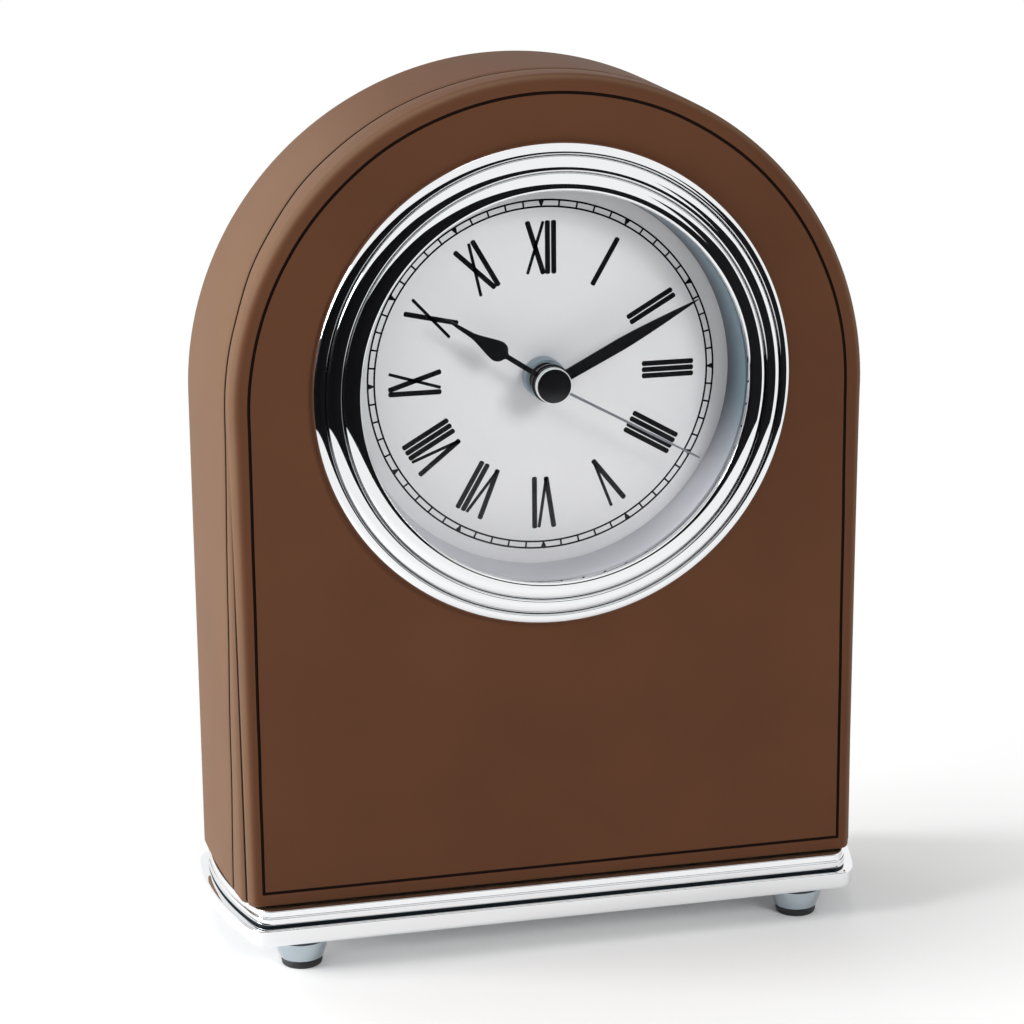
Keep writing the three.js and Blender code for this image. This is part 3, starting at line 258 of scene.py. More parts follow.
def add_share(tree, vector, axis, start, end, interpolation="SMOOTHSTEP"):
    """How far a vector has come along an axis from a start to an end, from 0 to 1."""
    axes = add_node(tree, "ShaderNodeSeparateXYZ", {"Vector": vector})
    return add_node(tree, "ShaderNodeMapRange", {
        "Value": axes.outputs[axis], "From Min": start, "From Max": end},
        interpolation_type=interpolation).outputs["Result"]


def add_mix(tree, share, low, high):
    """The colour that lies a share of the way between two others."""
    return add_node(tree, "ShaderNodeMix", {"Factor": share, "A": low, "B": high},
                    data_type="RGBA").outputs["Result"]


def add_facing(tree, axis, low, high, limits):
    """Blends two colours by how far the surface turns toward an axis of the clock."""
    normal = add_node(tree, "ShaderNodeTexCoord").outputs["Normal"]
    return add_mix(tree, add_share(tree, normal, axis, *limits), low, high)


def add_bump(tree, height, depth, strength=1.0, under=None):
    """Small relief: a height from 0 to 1 stands for a depth in metres, over another relief."""
    bump = add_node(tree, "ShaderNodeBump", {
        "Strength": strength, "Distance": depth, "Height": height})
    if under is not None:
        connect(tree, bump, {"Normal": under})
    return bump.outputs["Normal"]


def seen_directly(tree):
    """1 for the rays that the camera or a mirror sends out, and 0 for all others."""
    path = add_node(tree, "ShaderNodeLightPath").outputs
    return add_node(tree, "ShaderNodeMath", {
        0: path["Is Camera Ray"], 1: path["Is Glossy Ray"]}, operation="MAXIMUM").outputs["Value"]


def finish(name, colour, roughness, metallic=0.0, grain=2 * MM, tint=0.08, relief=0.02 * MM,
           stretch=(1, 1, 1), specular=0.5):
    """A plain finish: noise shades its colour and roughness and may lift a fine relief."""
    material, tree, place = new_material(name)
    cloud = add_noise(tree, place, grain, stretch=stretch)
    set_shader(tree, {
        "Base Color": add_ramp(tree, cloud, shade(colour, 1 - tint), shade(colour, 1 + tint)),
        "Roughness": add_range(tree, cloud, roughness * 0.85, roughness * 1.15),
        "Metallic": metallic,
        "Specular IOR Level": specular,
    })
    if relief:
        set_shader(tree, {"Normal": add_bump(tree, cloud, relief)})
    return material


def chrome(name, colour, roughness):
    """Bright plating with a trace of haze."""
    return finish(name, colour, roughness, 1.0, grain=18 * MM, tint=0.015, relief=0)


def crease_shadow(ink, leather_colour):
    """Painted shadow in the bottom of the crease, which turns to the side leather's colour higher
    up.
    """
    material, tree, place = new_material("crease_shadow")
    height = add_share(tree, place, "Z", LEATHER_BOTTOM + 45 * MM, LEATHER_BOTTOM + 85 * MM)
    set_shader(tree, {
        "Base Color": add_ramp(tree, height, shade(ink), shade(leather_colour), 0, 1),
        "Roughness": 0.8,
        "Specular IOR Level": 0.1,
    })
    return material


# Where a surface turns from flank to crown, and from front to flank: there the leather's painted
# light changes
CROWN_FACING = (0.72, 1.0)
FRONT_FACING = (-0.998, -0.7)


def leather(name, colour, side, crown, grain):
    """Smooth leather: faint clouds of colour, small pebbles and long soft creases.

    The flanks and the rolled edge are painted paler than the front, as painted light from the
    left, and the crown lies between them, with less of that painted light.
    """
    material, tree, place = new_material(name)
    clouds = add_noise(tree, place, 30 * MM, detail=4)
    front, flank, top = [add_ramp(tree, clouds, shade(tone, 0.93), shade(tone, 1.07))
                         for tone in (colour, side, crown)]
    turned = add_facing(tree, "Z", flank, top, CROWN_FACING)
    pebbles = add_node(tree, "ShaderNodeTexVoronoi", {"Scale": 1 / grain, "Vector": place},
                       feature="SMOOTH_F1")
    creases = add_noise(tree, place, 5 * MM, detail=5, stretch=(1, 1, 2))
    fine = add_bump(tree, pebbles.outputs["Distance"], 0.015 * MM, 0.5)
    set_shader(tree, {
        # Painted light: the colour turns to the paler flank colour as the surface turns away from
        # the front, and to the crown colour on top.
        "Base Color": add_facing(tree, "Y", front, turned, FRONT_FACING),
        "Roughness": add_range(tree, clouds, 0.50, 0.60),
        "Normal": add_bump(tree, creases, 0.05 * MM, 0.4, fine),
        "Specular IOR Level": 0.04,
        "Sheen Weight": 0.01,
        "Sheen Roughness": 0.35,
    })
    return material


def lens_glass():
    """Clear glass that passes light straight through and mirrors a little of the room."""
    material, tree, place = new_material("lens_glass")
    smear = add_noise(tree, place, 12 * MM)
    set_shader(tree, {
        "Base Color": add_ramp(tree, smear, (0.93, 0.96, 1, 1), (1, 1, 1, 1)),
        "Roughness": add_range(tree, smear, 0.01, 0.03),
        "Metallic": 1.0,
        "Alpha": 0.01,
    })
    return material


def wall_paint(face):
    """Grey paint on the ring round the dial, with painted shade where it meets the dial and
    painted light on its lower part.
    """
    material, tree, place = new_material("dial_wall")
    depth = add_share(tree, place, "Y", WALL_HIGH.y, WALL_LOW.y, "LINEAR")
    foot = add_share(tree, place, "Z", DIAL_Z - 2 * MM, DIAL_Z - 26 * MM)
    paint = add_ramp(tree, depth, shade(face.wall_shade_colour), shade(face.wall), 0, 0.8)
    set_shader(tree, {
        "Base Color": add_mix(tree, foot, paint, shade(face.wall_lit_colour)),
        "Roughness": 0.35,
    })
    return material


def winding(colour):
    """Enamelled wire wound round the X axis: fine ridges side by side."""
    material, tree, place = new_material("copper_winding")
    turns = add_node(tree, "ShaderNodeTexWave", {"Scale": 1 / (1.2 * MM), "Vector": place},
                     wave_type="BANDS", bands_direction="X").outputs["Fac"]
    set_shader(tree, {
        "Base Color": add_ramp(tree, turns, shade(colour, 0.6), shade(colour, 1.1), 0, 1),
        "Normal": add_bump(tree, turns, 0.05 * MM),
        "Metallic": 0.8,
        "Roughness": 0.35,
    })
    return material


def make_materials(scene):
    """One material for each slot of the record, by the slot's name."""
    hide, plating, face = scene.clock_leather, scene.clock_chrome, scene.clock_dial
    back = hide.back_colour
    return {
        "leather": leather(
            "case_leather", hide.colour, hide.side_lit_colour, hide.crown_shaded_colour, hide.grain),
        "leather_back": leather("back_leather", back, back, back, hide.grain),
        "chrome": chrome("chrome_plate", plating.colour, plating.roughness),
        "glass": lens_glass(),
        "pale_wall": wall_paint(face),
        "dial_face": finish("dial_paint", face.paper, 0.42, grain=14 * MM, tint=0.008, relief=0),
        "hand_black": finish("hand_enamel", face.ink, 0.22, grain=3 * MM, relief=0),
        "hand_steel": finish("hand_steel", (0.30, 0.31, 0.35), 0.32, 0.6, 1.5 * MM),
        "rubber": finish(
            "foot_rubber", (0.012, 0.012, 0.014), 0.6, grain=0.6 * MM, relief=0.04 * MM),
        "black_plastic": finish("black_plastic", (0.022, 0.022, 0.024), 0.42, grain=0.5 * MM),
        "wood": finish("fibre_board", (0.30, 0.20, 0.12), 0.8, 0, 0.8 * MM, 0.25, 0.1 * MM),
        "screw_steel": finish("screw_steel", (0.55, 0.56, 0.58), 0.3, 1.0),
        "iron": finish("soft_iron", (0.42, 0.42, 0.44), 0.38, 1.0, stretch=(6, 1, 1)),
        "copper": winding((0.66, 0.30, 0.14)),
        "board": finish("circuit_board", (0.05, 0.20, 0.09), 0.45, grain=1.2 * MM, tint=0.2),
        "tin": finish("tinned_steel", (0.72, 0.73, 0.74), 0.24, 1.0, stretch=(1, 1, 8)),
        "battery_jacket": finish(
            "battery_jacket", (0.09, 0.10, 0.12), 0.38, 0.15, stretch=(8, 1, 1)),
        "wheel_plastic": finish("wheel_plastic", (0.76, 0.73, 0.64), 0.4, 0, 1 * MM, 0.05),
        "magnet": finish("sintered_magnet", (0.05, 0.05, 0.055), 0.5, 0.4, 0.3 * MM),
        "brass": finish("turned_brass", (0.70, 0.50, 0.20), 0.25, 1.0, 0.5 * MM),
    }


def slot_material(slot):
    """The material that belongs to a slot of the record."""
    return bpy.data.materials[bpy.context.scene.clock_slots[slot].material]


class CLOCK_OT_materials(bpy.types.Operator):
    """Make the materials and give every solid the one that its slot asks for"""

    bl_idname = "clock.materials"
    bl_label = "Materials"

    def execute(self, context):
        for slot, material in make_materials(context.scene).items():
            entry = context.scene.clock_slots.add()
            entry.name = slot
            entry.material = material.name
        for part in frame["record"]["subparts"]:
            mesh = frame["nodes"][part["node"]].data
            mesh.materials.clear()
            mesh.materials.append(slot_material(part["material_slot"]))
        return {"FINISHED"}


# Meshes

def place_piece(name, points, faces, slots, body, node=None, crease=40, parts=None):
    """A smooth mesh that rides on a body and stands for a solid; parts gives each face's slot."""
    mesh = bpy.data.meshes.new(name)
    mesh.from_pydata([tuple(point) for point in points], [], faces)
    for slot in slots:
        mesh.materials.append(slot_material(slot) if isinstance(slot, str) else slot)
    if parts:
        mesh.polygons.foreach_set("material_index", parts)
    tidy = bmesh.new()
    tidy.from_mesh(mesh)
    bmesh.ops.remove_doubles(tidy, verts=tidy.verts, dist=0.0005 * MM)
    bmesh.ops.dissolve_degenerate(tidy, edges=tidy.edges, dist=0.0001 * MM)
    bmesh.ops.recalc_face_normals(tidy, faces=tidy.faces)
    tidy.to_mesh(mesh)
    tidy.free()
    mesh.shade_smooth()
    mesh.set_sharp_from_angle(angle=math.radians(crease))
    piece = bpy.data.objects.new(name, mesh)
    bpy.context.scene.collection.objects.link(piece)
    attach(piece, body)
    if node:
        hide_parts(node)
    return piece


def skin(rings):
    """Joins closed rings of equal length into faces; returns the points and the faces."""
    size = len(rings[0])
    faces = []
    for start in range(0, (len(rings) - 1) * size, size):
        for i in range(size):
            near, far = start + i, start + (i + 1) % size
            faces.append((near, far, far + size, near + size))
    return [point for ring in rings for point in ring], faces


def close_end(points, faces, size):
    """Fills the last of some rings with one face."""
    faces.append(tuple(range(len(points) - 1, len(points) - 1 - size, -1)))


def join(points, faces, more_points, more_faces):
    """Adds a second set of points and faces to the first."""
    faces += [tuple(corner + len(points) for corner in face) for face in more_faces]
    points += more_points


def revolve(profile, centre=(0.0, 0.0), steps=ROUND_STEPS):
    """Turns [radius, depth] points round a line along Y; centre is its x and z."""
    turns = [2 * math.pi * i / steps for i in range(steps)]
    return skin([[(centre[0] + radius * math.cos(turn), depth, centre[1] + radius * math.sin(turn))
                  for turn in turns] for radius, depth in profile])


def revolve_upright(profile, centre):
    """Turns [radius, height] points round a vertical line; centre is its x and y."""
    points, faces = revolve(profile, steps=SMALL_STEPS)
    return [(centre[0] + x, centre[1] + z, height) for x, height, z in points], faces


def turned_piece(name, profile, slot, body, node, crease=40, steps=ROUND_STEPS):
    """A piece turned from [radius, depth] points round the middle of the dial."""
    points, faces = revolve(profile, (0, DIAL_Z), steps)
    return place_piece(name, points, faces, [slot], body, node, crease)


def rounded(profile, radius, steps=3):
    """A profile with its corners rounded by short curves; the ends stay as they are."""
    smooth = [profile[0]]
    for before, corner, after in zip(profile, profile[1:], profile[2:]):
        corner = Vector(corner)
        inward, outward = Vector(before) - corner, Vector(after) - corner
        reach = min(radius, inward.length / 2, outward.length / 2)
        if reach < 0.001 * MM:
            smooth.append(tuple(corner))
            continue
        start, end = corner + inward.normalized() * reach, corner + outward.normalized() * reach
        for k in range(steps + 1):
            share = k / steps
            smooth.append(tuple(start * (1 - share) ** 2 + corner * 2 * share * (1 - share)
                                + end * share ** 2))
    return [*smooth, profile[-1]]


def blend(start, end, share):
    """The number that lies a share of the way between two others."""
    return start + (end - start) * share


def level_at(outline, place, smooth=False):
    """The level at one place of an outline of [place, level] points."""
    level = 0
    for (before, low), (after, high) in zip(outline, outline[1:]):
        if before <= place <= after:
            share = (place - before) / (after - before)
            level = blend(low, high, share * share * (3 - 2 * share) if smooth else share)
    return level


def quarter(steps, first=0):
    """Pairs along a quarter turn: one number falls from 1 to 0, the other rises from 0 to 1."""
    turns = [k / steps * math.pi / 2 for k in range(first, steps + 1)]
    return [(1 - math.sin(turn), 1 - math.cos(turn)) for turn in turns]


def bezier(points, steps):
    """Points along a curve with two to four controls, without the last one."""
    curve = []
    for k in range(steps):
        level = [Vector(point) for point in points]
        while len(level) > 1:
            level = [a.lerp(b, k / steps) for a, b in zip(level, level[1:])]
        curve.append(level[0])
    return curve


def joined_curves(parts, unit=1):
    """Points along curves; each part is a number of steps and its controls, in a unit."""
    points = []
    for steps, *controls in parts:
        points += bezier([(x * unit, y * unit) for x, y in controls], steps)
    return points


# Case

def flank_reach(depth):
    """Half the case's width at one depth: the flanks bow outward toward the back."""
    share = min(max((depth - FRONT_Y) / (BACK_Y - FRONT_Y), 0), 1)
    return FRONT_HALF_WIDTH + (BACK_HALF_WIDTH - FRONT_HALF_WIDTH) * (1 - (1 - share) ** 2)


def case_outline(depth, inset, bottom, corner, pinch=0.0):
    """The case's outline at one depth, drawn in by an inset, as [x, z] pairs.

    It runs up the left flank, over the arch, down the right flank and back along the
    bottom. A pinch draws the flanks further in near the bottom and dies out at the arch.
    """
    reach = flank_reach(depth)
    centre = CROWN_Z - reach
    half = reach - inset
    side = [(half - pinch - corner * fall, bottom + corner * rise)
            for fall, rise in quarter(CORNER_STEPS)]
    for k in range(1, FLANK_STEPS + 1):
        share = k / FLANK_STEPS
        side.append((half - pinch * (1 - share) ** 0.7, blend(bottom + corner, centre, share)))
    turns = [math.pi * (1 - k / ARCH_STEPS) for k in range(1, ARCH_STEPS)]
    arch = [(half * math.cos(turn), centre + half * math.sin(turn)) for turn in turns]
    foot = side[0][0]
    along = [(blend(foot, -foot, k / BOTTOM_STEPS), bottom) for k in range(1, BOTTOM_STEPS)]
    return [(-x, z) for x, z in side] + arch + side[::-1] + along


def at_depth(outline, depth):
    """A ring from [x, z] pairs at one depth."""
    return [(x, depth, z) for x, z in outline]


# The seam's drift: 0 to 1 up the flank and 1 to 2 over the arch, and millimetres to the back
SEAM_DRIFT = [(0, 2.6), (0.3, 1.3), (0.6, -0.1), (1, -2.3), (1.17, -1.9), (1.33, 0.6), (1.5, 2.6),
              (1.7, 3.0), (1.85, 2.1), (2, 1.4)]


def seam_offset(x, z, amount):
    """How far the seam strays along Y at a place on the outline.

    The strip was laid by hand: it sits further back at the foot and over the shoulders, and
    nearer the front where the arch springs.
    """
    spring = CROWN_Z - FRONT_HALF_WIDTH
    if z < spring:
        along = (z - LEATHER_BOTTOM) / (spring - LEATHER_BOTTOM)
    else:
        along = 1 + math.atan2(z - spring, abs(x)) / (math.pi / 2)
    along = min(max(along, 0), 2)
    slow = noise.noise(Vector((x, 0, z)) / (22 * MM))
    quick = noise.noise(Vector((x, 7, z)) / (5 * MM))
    stray = slow * 0.8 + quick * blend(0.15, 0.8, min(max(along - 1, 0), 1))
    return level_at(SEAM_DRIFT, along, smooth=True) * MM + amount * stray


def case_ring(depth, inset, bottom, corner, pinch=0.0, place=None):
    """The case's outline in space; place may give each point a depth of its own."""
    outline = case_outline(depth, inset, bottom, corner, pinch)
    if place is None:
        return at_depth(outline, depth)
    reach = flank_reach(depth)
    ring = []
    for x, z in outline:
        local = place(x, z)
        ratio = flank_reach(local) / reach
        if z > CROWN_Z - reach:
            z = CROWN_Z + (z - CROWN_Z) * ratio
        ring.append((x * ratio, local, z))
    return ring


# Rings over the crease: millimetres behind it, and the share of its depth
CREASE_STEPS = [(1.3, 0), (0.8, 0.15), (0.4, 0.65), (0.15, 1), (-0.1, 0.97), (-0.35, 0.8),
                (-0.6, 0.67), (-0.8, 0.62)]

# Rows of faces at the bottom of the crease, which take the painted crease shadow
CREASE_ROWS = (8, 9)


def cover_rings(hide):
    """Rings of the front leather, from the seam over the rolled edge to the border's groove."""
    seam = FRONT_Y + hide.seam_setback
    roll, corner = hide.edge_roll, hide.corner

    def beside_seam(offset):
        return lambda x, z: seam + seam_offset(x, z, hide.seam_wander) + offset

    rings = [case_ring(seam, 1.2 * MM, LEATHER_BOTTOM, corner, place=beside_seam(0.3 * MM))]
    for fall, rise in quarter(4):
        rings.append(case_ring(seam, 0.5 * MM * fall, LEATHER_BOTTOM, corner,
                               place=beside_seam(-0.5 * MM * rise)))
    crease = FRONT_Y + roll + 0.9 * MM
    for number, (step, share) in enumerate(CREASE_STEPS):
        limit = beside_seam(-(0.6 + 0.05 * number) * MM)
        depth = crease + step * MM
        rings.append(case_ring(depth, 0, LEATHER_BOTTOM, corner, hide.pinch * share,
                               lambda x, z: min(depth, limit(x, z))))
    drawn = hide.pinch * CREASE_STEPS[-1][1]
    for fall, rise in quarter(9, 1):
        rings.append(case_ring(FRONT_Y + roll * fall, roll * rise,
                               LEATHER_BOTTOM + 0.5 * MM * rise, corner, drawn))
    return rings


def border_rings(hide):
    """Rings of the groove that holds the border's line, from its outer to its inner edge."""
    half = hide.border_width / 2
    profile = [(-half, 0), (-half + 0.1 * MM, 0.75), (-half + 0.22 * MM, 1),
               (half - 0.22 * MM, 1), (half - 0.1 * MM, 0.75), (half, 0)]
    rings = []
    for across, share in profile:
        inset = hide.border_inset + across
        depth = FRONT_Y + hide.border_depth * share
        ring = []
        for x, z in case_outline(FRONT_Y, inset, LEATHER_BOTTOM + inset - 0.45 * MM, 0.1 * MM):
            stray = 0.12 * MM * noise.noise(Vector((x, 3, z)) / (14 * MM))
            ring.append((x + math.copysign(stray, x), depth, z + stray * (z > DIAL_Z)))
        rings.append(ring)
    return rings


def circle_toward(ring, radius, depth):
    """Points on a circle round the dial, each in the direction of a point of the ring."""
    turns = [math.atan2(z - DIAL_Z, x) for x, _, z in ring]
    return [(radius * math.cos(turn), depth, DIAL_Z + radius * math.sin(turn)) for turn in turns]


def between(first, last, count):
    """Rings spaced evenly between two others."""
    return [[tuple(Vector(a).lerp(Vector(b), k / (count + 1))) for a, b in zip(first, last)]
            for k in range(1, count + 1)]


def in_crease(face, size):
    """Whether a face lies at the bottom of the crease, on the lower part of a flank, where shadow
    is painted.
    """
    row, place = divmod(face, size)
    from_right_foot = CORNER_STEPS + 2 * FLANK_STEPS + ARCH_STEPS - 1 - place
    return row in CREASE_ROWS and (0 < place < CORNER_STEPS + FLANK_STEPS
                                   or -CORNER_STEPS < from_right_foot < FLANK_STEPS)


class CLOCK_OT_front_leather(bpy.types.Operator):
    """Make the leather on the front, with its rolled edge and the line round it"""

    bl_idname = "clock.front_leather"
    bl_label = "Front leather"

    def execute(self, context):
        hide = context.scene.clock_leather
        outside, border = cover_rings(hide), border_rings(hide)
        hole, inside = [circle_toward(border[-1], BEZEL_RADIUS - 2.6 * MM, depth)
                        for depth in (FRONT_Y, FRONT_Y + 1 * MM)]
        points, faces = skin([*outside, *border, *between(border[-1], hole, 5), hole, inside])
        size = len(border[0])
        first = len(outside) * size
        # The rows tucked into the seam take the ink, as dark cut edges and as painted shade in the
        # seam's gap; the border's groove takes it as its printed line.
        dark = {*range(2 * size), *range(first, first + (len(border) - 1) * size)}
        parts = [1 if face in dark else 2 if in_crease(face, size) else 0
                 for face in range(len(faces))]
        ink = finish("border_ink", hide.ink, 0.8, grain=1 * MM, specular=0.1)
        crease = crease_shadow(hide.ink, hide.side_lit_colour)
        place_piece("leather_front", points, faces, ["leather", ink, crease], "case",
                    "front_cover", 50, parts)
        return {"FINISHED"}


class CLOCK_OT_side_leather(bpy.types.Operator):
    """Make the leather strip over the flanks and the crown"""

    bl_idname = "clock.side_leather"
    bl_label = "Side leather"

    def execute(self, context):
        hide = context.scene.clock_leather
        seam = FRONT_Y + hide.seam_setback + hide.seam_gap
        bottom = WRAP_LOW.z
        edge, turned = 0.5 * MM, 1.6 * MM

        def ring(depth, inset, offset, share=0.0):
            """A ring at an offset behind the seam, which straightens toward the back."""
            return case_ring(depth, inset, bottom, 0.5 * MM, place=lambda x, z: blend(
                seam + seam_offset(x, z, hide.seam_wander) + offset, BACK_Y - turned, share))

        rings = [ring(seam, 1.3 * MM, 0)]
        rings += [ring(seam, edge * fall, edge * rise) for fall, rise in quarter(4)]
        rings += [ring(blend(seam + edge, BACK_Y - turned, k / 14), 0, edge, k / 14)
                  for k in range(1, 15)]
        for k, (fall, rise) in enumerate(quarter(7, 1), 1):
            outline = case_outline(BACK_Y, turned * rise, bottom, blend(0.5, 2.2, k / 7) * MM)
            rings.append(at_depth(outline, BACK_Y - turned * fall))
        hem = case_outline(BACK_Y, 2.0 * MM, bottom, 2.2 * MM)
        rings.append(at_depth(hem, BACK_Y - 0.8 * MM))
        points, faces = skin(rings)
        # The rows tucked into the seam take the ink, as dark cut edges and as painted shade in the
        # seam's gap.
        parts = [1 if face < 3 * len(rings[0]) else 0 for face in range(len(faces))]
        ink = bpy.data.materials["border_ink"]
        place_piece("leather_side", points, faces, ["leather", ink], "case", "side_wrap", 50,
                    parts)
        return {"FINISHED"}


class CLOCK_OT_back_leather(bpy.types.Operator):
    """Make the leather panel on the back, with its round opening"""

    bl_idname = "clock.back_leather"
    bl_label = "Back leather"

    def execute(self, context):
        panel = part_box("back_panel")[0]
        edge, opening = 0.5 * MM, 34 * MM
        back = BACK_Y - 0.1 * MM

        def ring(drawn, depth):
            outline = case_outline(BACK_Y, 2.1 * MM + drawn, panel.z + 0.4 * MM, 1.8 * MM)
            return at_depth(outline, depth)

        rings = [ring(0, BACK_Y - 1.2 * MM)]
        rings += [ring(edge * rise, back - edge * fall) for fall, rise in quarter(4)]
        rim = circle_toward(rings[-1], opening + edge, back)
        rings += [*between(rings[-1], rim, 5), rim]
        rings += [circle_toward(rim, opening + edge * fall, back - edge * rise)
                  for fall, rise in quarter(3, 1)]
        rings.append(circle_toward(rim, opening, panel.y))
        points, faces = skin(rings)
        place_piece("leather_back", points, faces, ["leather_back"], "case", "back_panel", 50)
        return {"FINISHED"}


# Base and feet

def base_plan(inset):
    """The base's outline seen from above, drawn in by an inset, as [x, y] pairs."""
    half, side = BASE_HIGH.y, BASE_HIGH.x + 0.02 * MM
    corner, front, rear = half - 5.6 * MM, 53.8 * MM, side - 5 * MM
    turn, end = front + 3.9 * MM, side - 0.4 * MM
    plan = joined_curves([
        (12, (0, -half), (front, -half)),
        (8, (front, -half), (front + 2.5 * MM, -half), (turn, -corner)),
        (14, (turn, -corner), (end, -corner / 3), (side + 0.6 * MM, corner / 3), (end, corner)),
        (8, (end, corner), (side - 0.8 * MM, half), (rear, half)),
        (12, (rear, half), (0, half)),
    ])
    scale_x, scale_y = 1 - inset / side, 1 - inset / half
    right = [(x * scale_x, y * scale_y) for x, y in [*plan, Vector((0, half))]]
    return right + [(-x, y) for x, y in right[-2:0:-1]]


class CLOCK_OT_base(bpy.types.Operator):
    """Make the stepped chrome base"""

    bl_idname = "clock.base"
    bl_label = "Base"

    def execute(self, context):
        plating = context.scene.clock_chrome
        bottom, top = BASE_LOW.z, BASE_HIGH.z
        band = bottom + plating.band_height
        groove = band + plating.groove_height
        step = groove + plating.step_height
        # Both ends of the profile lie far inside and go once its corners are round
        middle = 30 * MM
        profile = [(middle, bottom), (0.35 * MM, bottom), (0, bottom + 0.6 * MM),
                   (0, band - 0.14 * MM), (0.14 * MM, band), (1.8 * MM, band),
                   (1.8 * MM, groove), (1.3 * MM, groove), (1.3 * MM, step),
                   (1.65 * MM, step), (1.7 * MM, top), (middle, top)]
        smooth = rounded(profile, 0.16 * MM, 4)[1:-1]
        rings = [[(x, y, height) for x, y in base_plan(inset)] for inset, height in smooth]
        points, faces = skin(rings)
        size = len(rings[0])
        faces.append(tuple(range(size)))
        close_end(points, faces, size)
        # Painted shade: the faces deep in the groove take a dark blue-black finish in place of the
        # chrome.
        parts = [0] * len(faces)
        for number, (low, high) in enumerate(zip(smooth, smooth[1:])):
            height = (low[1] + high[1]) / 2
            in_groove = band + 0.01 * MM < height < groove + 0.02 * MM
            if in_groove and max(low[0], high[0]) > 0.9 * MM:
                parts[number * size:(number + 1) * size] = [1] * size
        groove_shade_finish = finish("groove_painted_shade", (0.015, 0.028, 0.038), 0.35, 0.5, relief=0)
        place_piece("chrome_base", points, faces, ["chrome", groove_shade_finish], "case", "base_plate", 30,
                    parts)
        return {"FINISHED"}


class CLOCK_OT_feet(bpy.types.Operator):
    """Make the four cups and the pads under them"""

    bl_idname = "clock.feet"
    bl_label = "Feet"

    def execute(self, context):
        plating = context.scene.clock_chrome
        # The cups' chrome is darkened as painted shade for the dark underside.
        cup_metal = chrome("foot_chrome_shaded", plating.foot_shaded_colour, plating.roughness * 2)
        # Painted shade: a dark band round the top of each cup, under the base.
        shadow = finish("collar_painted_shade", (0.03, 0.04, 0.05), 0.4, 0.5, relief=0)
        for place in ("front_left", "front_right", "rear_left", "rear_right"):
            low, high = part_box(f"foot_cup_{place}")
            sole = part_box(f"foot_pad_{place}")[0].z
            centre = ((low.x + high.x) / 2, (low.y + high.y) / 2)
            neck, neck_radius = high.z - 0.5 * MM, 4.85 * MM
            cup = [(0, high.z), (4.6 * MM, high.z), (4.9 * MM, high.z - 0.15 * MM),
                   (neck_radius, neck)]
            for k in range(1, 17):
                share = k / 16
                cup.append((neck_radius - 1.0 * MM * share ** 1.6, blend(neck, low.z, share)))
            cup.append((0, low.z))
            points, faces = revolve_upright(rounded(cup, 0.2 * MM), centre)
            # Faces near the top of the cup take the painted shade under the base.
            collar = high.z - 0.8 * MM
            parts = [1 if sum(points[i][2] for i in face) / len(face) > collar else 0
                     for face in faces]
            piece = place_piece(f"cup_{place}", points, faces, [cup_metal, shadow], "case",
                                f"foot_cup_{place}", 35, parts)
            pad = [(0, sole), (3.55 * MM, sole), (3.75 * MM, 0.9 * MM), (3.7 * MM, low.z),
                   (0, low.z)]
            points, faces = revolve_upright(rounded(pad, 0.3 * MM), centre)
            place_piece(f"pad_{place}", points, faces, ["rubber"], "case", f"foot_pad_{place}",
                        35)
        return {"FINISHED"}


# Bezel, lens and dial

# The bezel's beads, as the outer edge, crest and inner edge of each, in millimetres
BEADS = [((43.1, 0.6), (41.25, 2.1), (40.95, 1.7)), ((40.9, 1.4), (38.5, 2.9), (38.1, 2.4)),
         ((38.05, 2.15), (35.4, 3.34), (34.8, 2.8))]


def bead(outer, crest, inner, steps=16):
    """Points over one bead of the bezel, as [radius, rise] pairs.

    Each argument is such a pair. The bead swells up to its crest and falls a little behind it.
    """
    turns = [(math.sin(turn), math.cos(turn))
             for turn in [k / steps * math.pi / 2 for k in range(steps + 1)]]
    return [*[(blend(crest[0], outer[0], cosine), blend(outer[1], crest[1], sine))
              for sine, cosine in turns],
            *[(blend(crest[0], inner[0], sine), blend(inner[1], crest[1], cosine))
              for sine, cosine in turns[1:]]]


class CLOCK_OT_bezel(bpy.types.Operator):
    """Make the beaded bezel, its skirt and the gasket round it"""

    bl_idname = "clock.bezel"
    bl_label = "Bezel"

    def execute(self, context):
        low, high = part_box("gasket")
        seat = FRONT_Y - 0.1 * MM
        lip, shelf = LENS_LOW.y - 0.01 * MM, LENS_HIGH.y + 0.05 * MM
        skirt_inner, skirt_outer = high.x - 1.8 * MM, high.x - 0.85 * MM
        profile = [(BEZEL_RADIUS, seat)]
        for edges in BEADS:
            profile += [(radius * MM, seat - rise * MM) for radius, rise in bead(*edges)]
        profile += [(LIP_RADIUS, lip), (36.4 * MM, lip), (36.4 * MM, shelf), (skirt_inner, shelf),
                    (skirt_inner, BEZEL_HIGH.y), (skirt_outer, BEZEL_HIGH.y), (skirt_outer, seat),
                    (BEZEL_RADIUS, seat)]
        turned_piece("chrome_bezel", profile, "chrome", "insert", "bezel", steps=2 * ROUND_STEPS)
        middle, reach = (low.y + high.y) / 2, (high.y - low.y) / 2
        core = skirt_outer + 0.05 * MM
        ribs = [(core, low.y)]
        for k in range(25):
            along = blend(-1, 1, k / 24)
            height = 0.8 * MM * abs(math.sin(along * math.pi)) ** 0.7
            ribs.append((core + max(height, 0.2 * MM * (1 - along ** 2)), middle + along * reach))
        turned_piece("gasket_ribs", [*ribs, ribs[0]], "rubber", "insert", "gasket", 60)
        return {"FINISHED"}


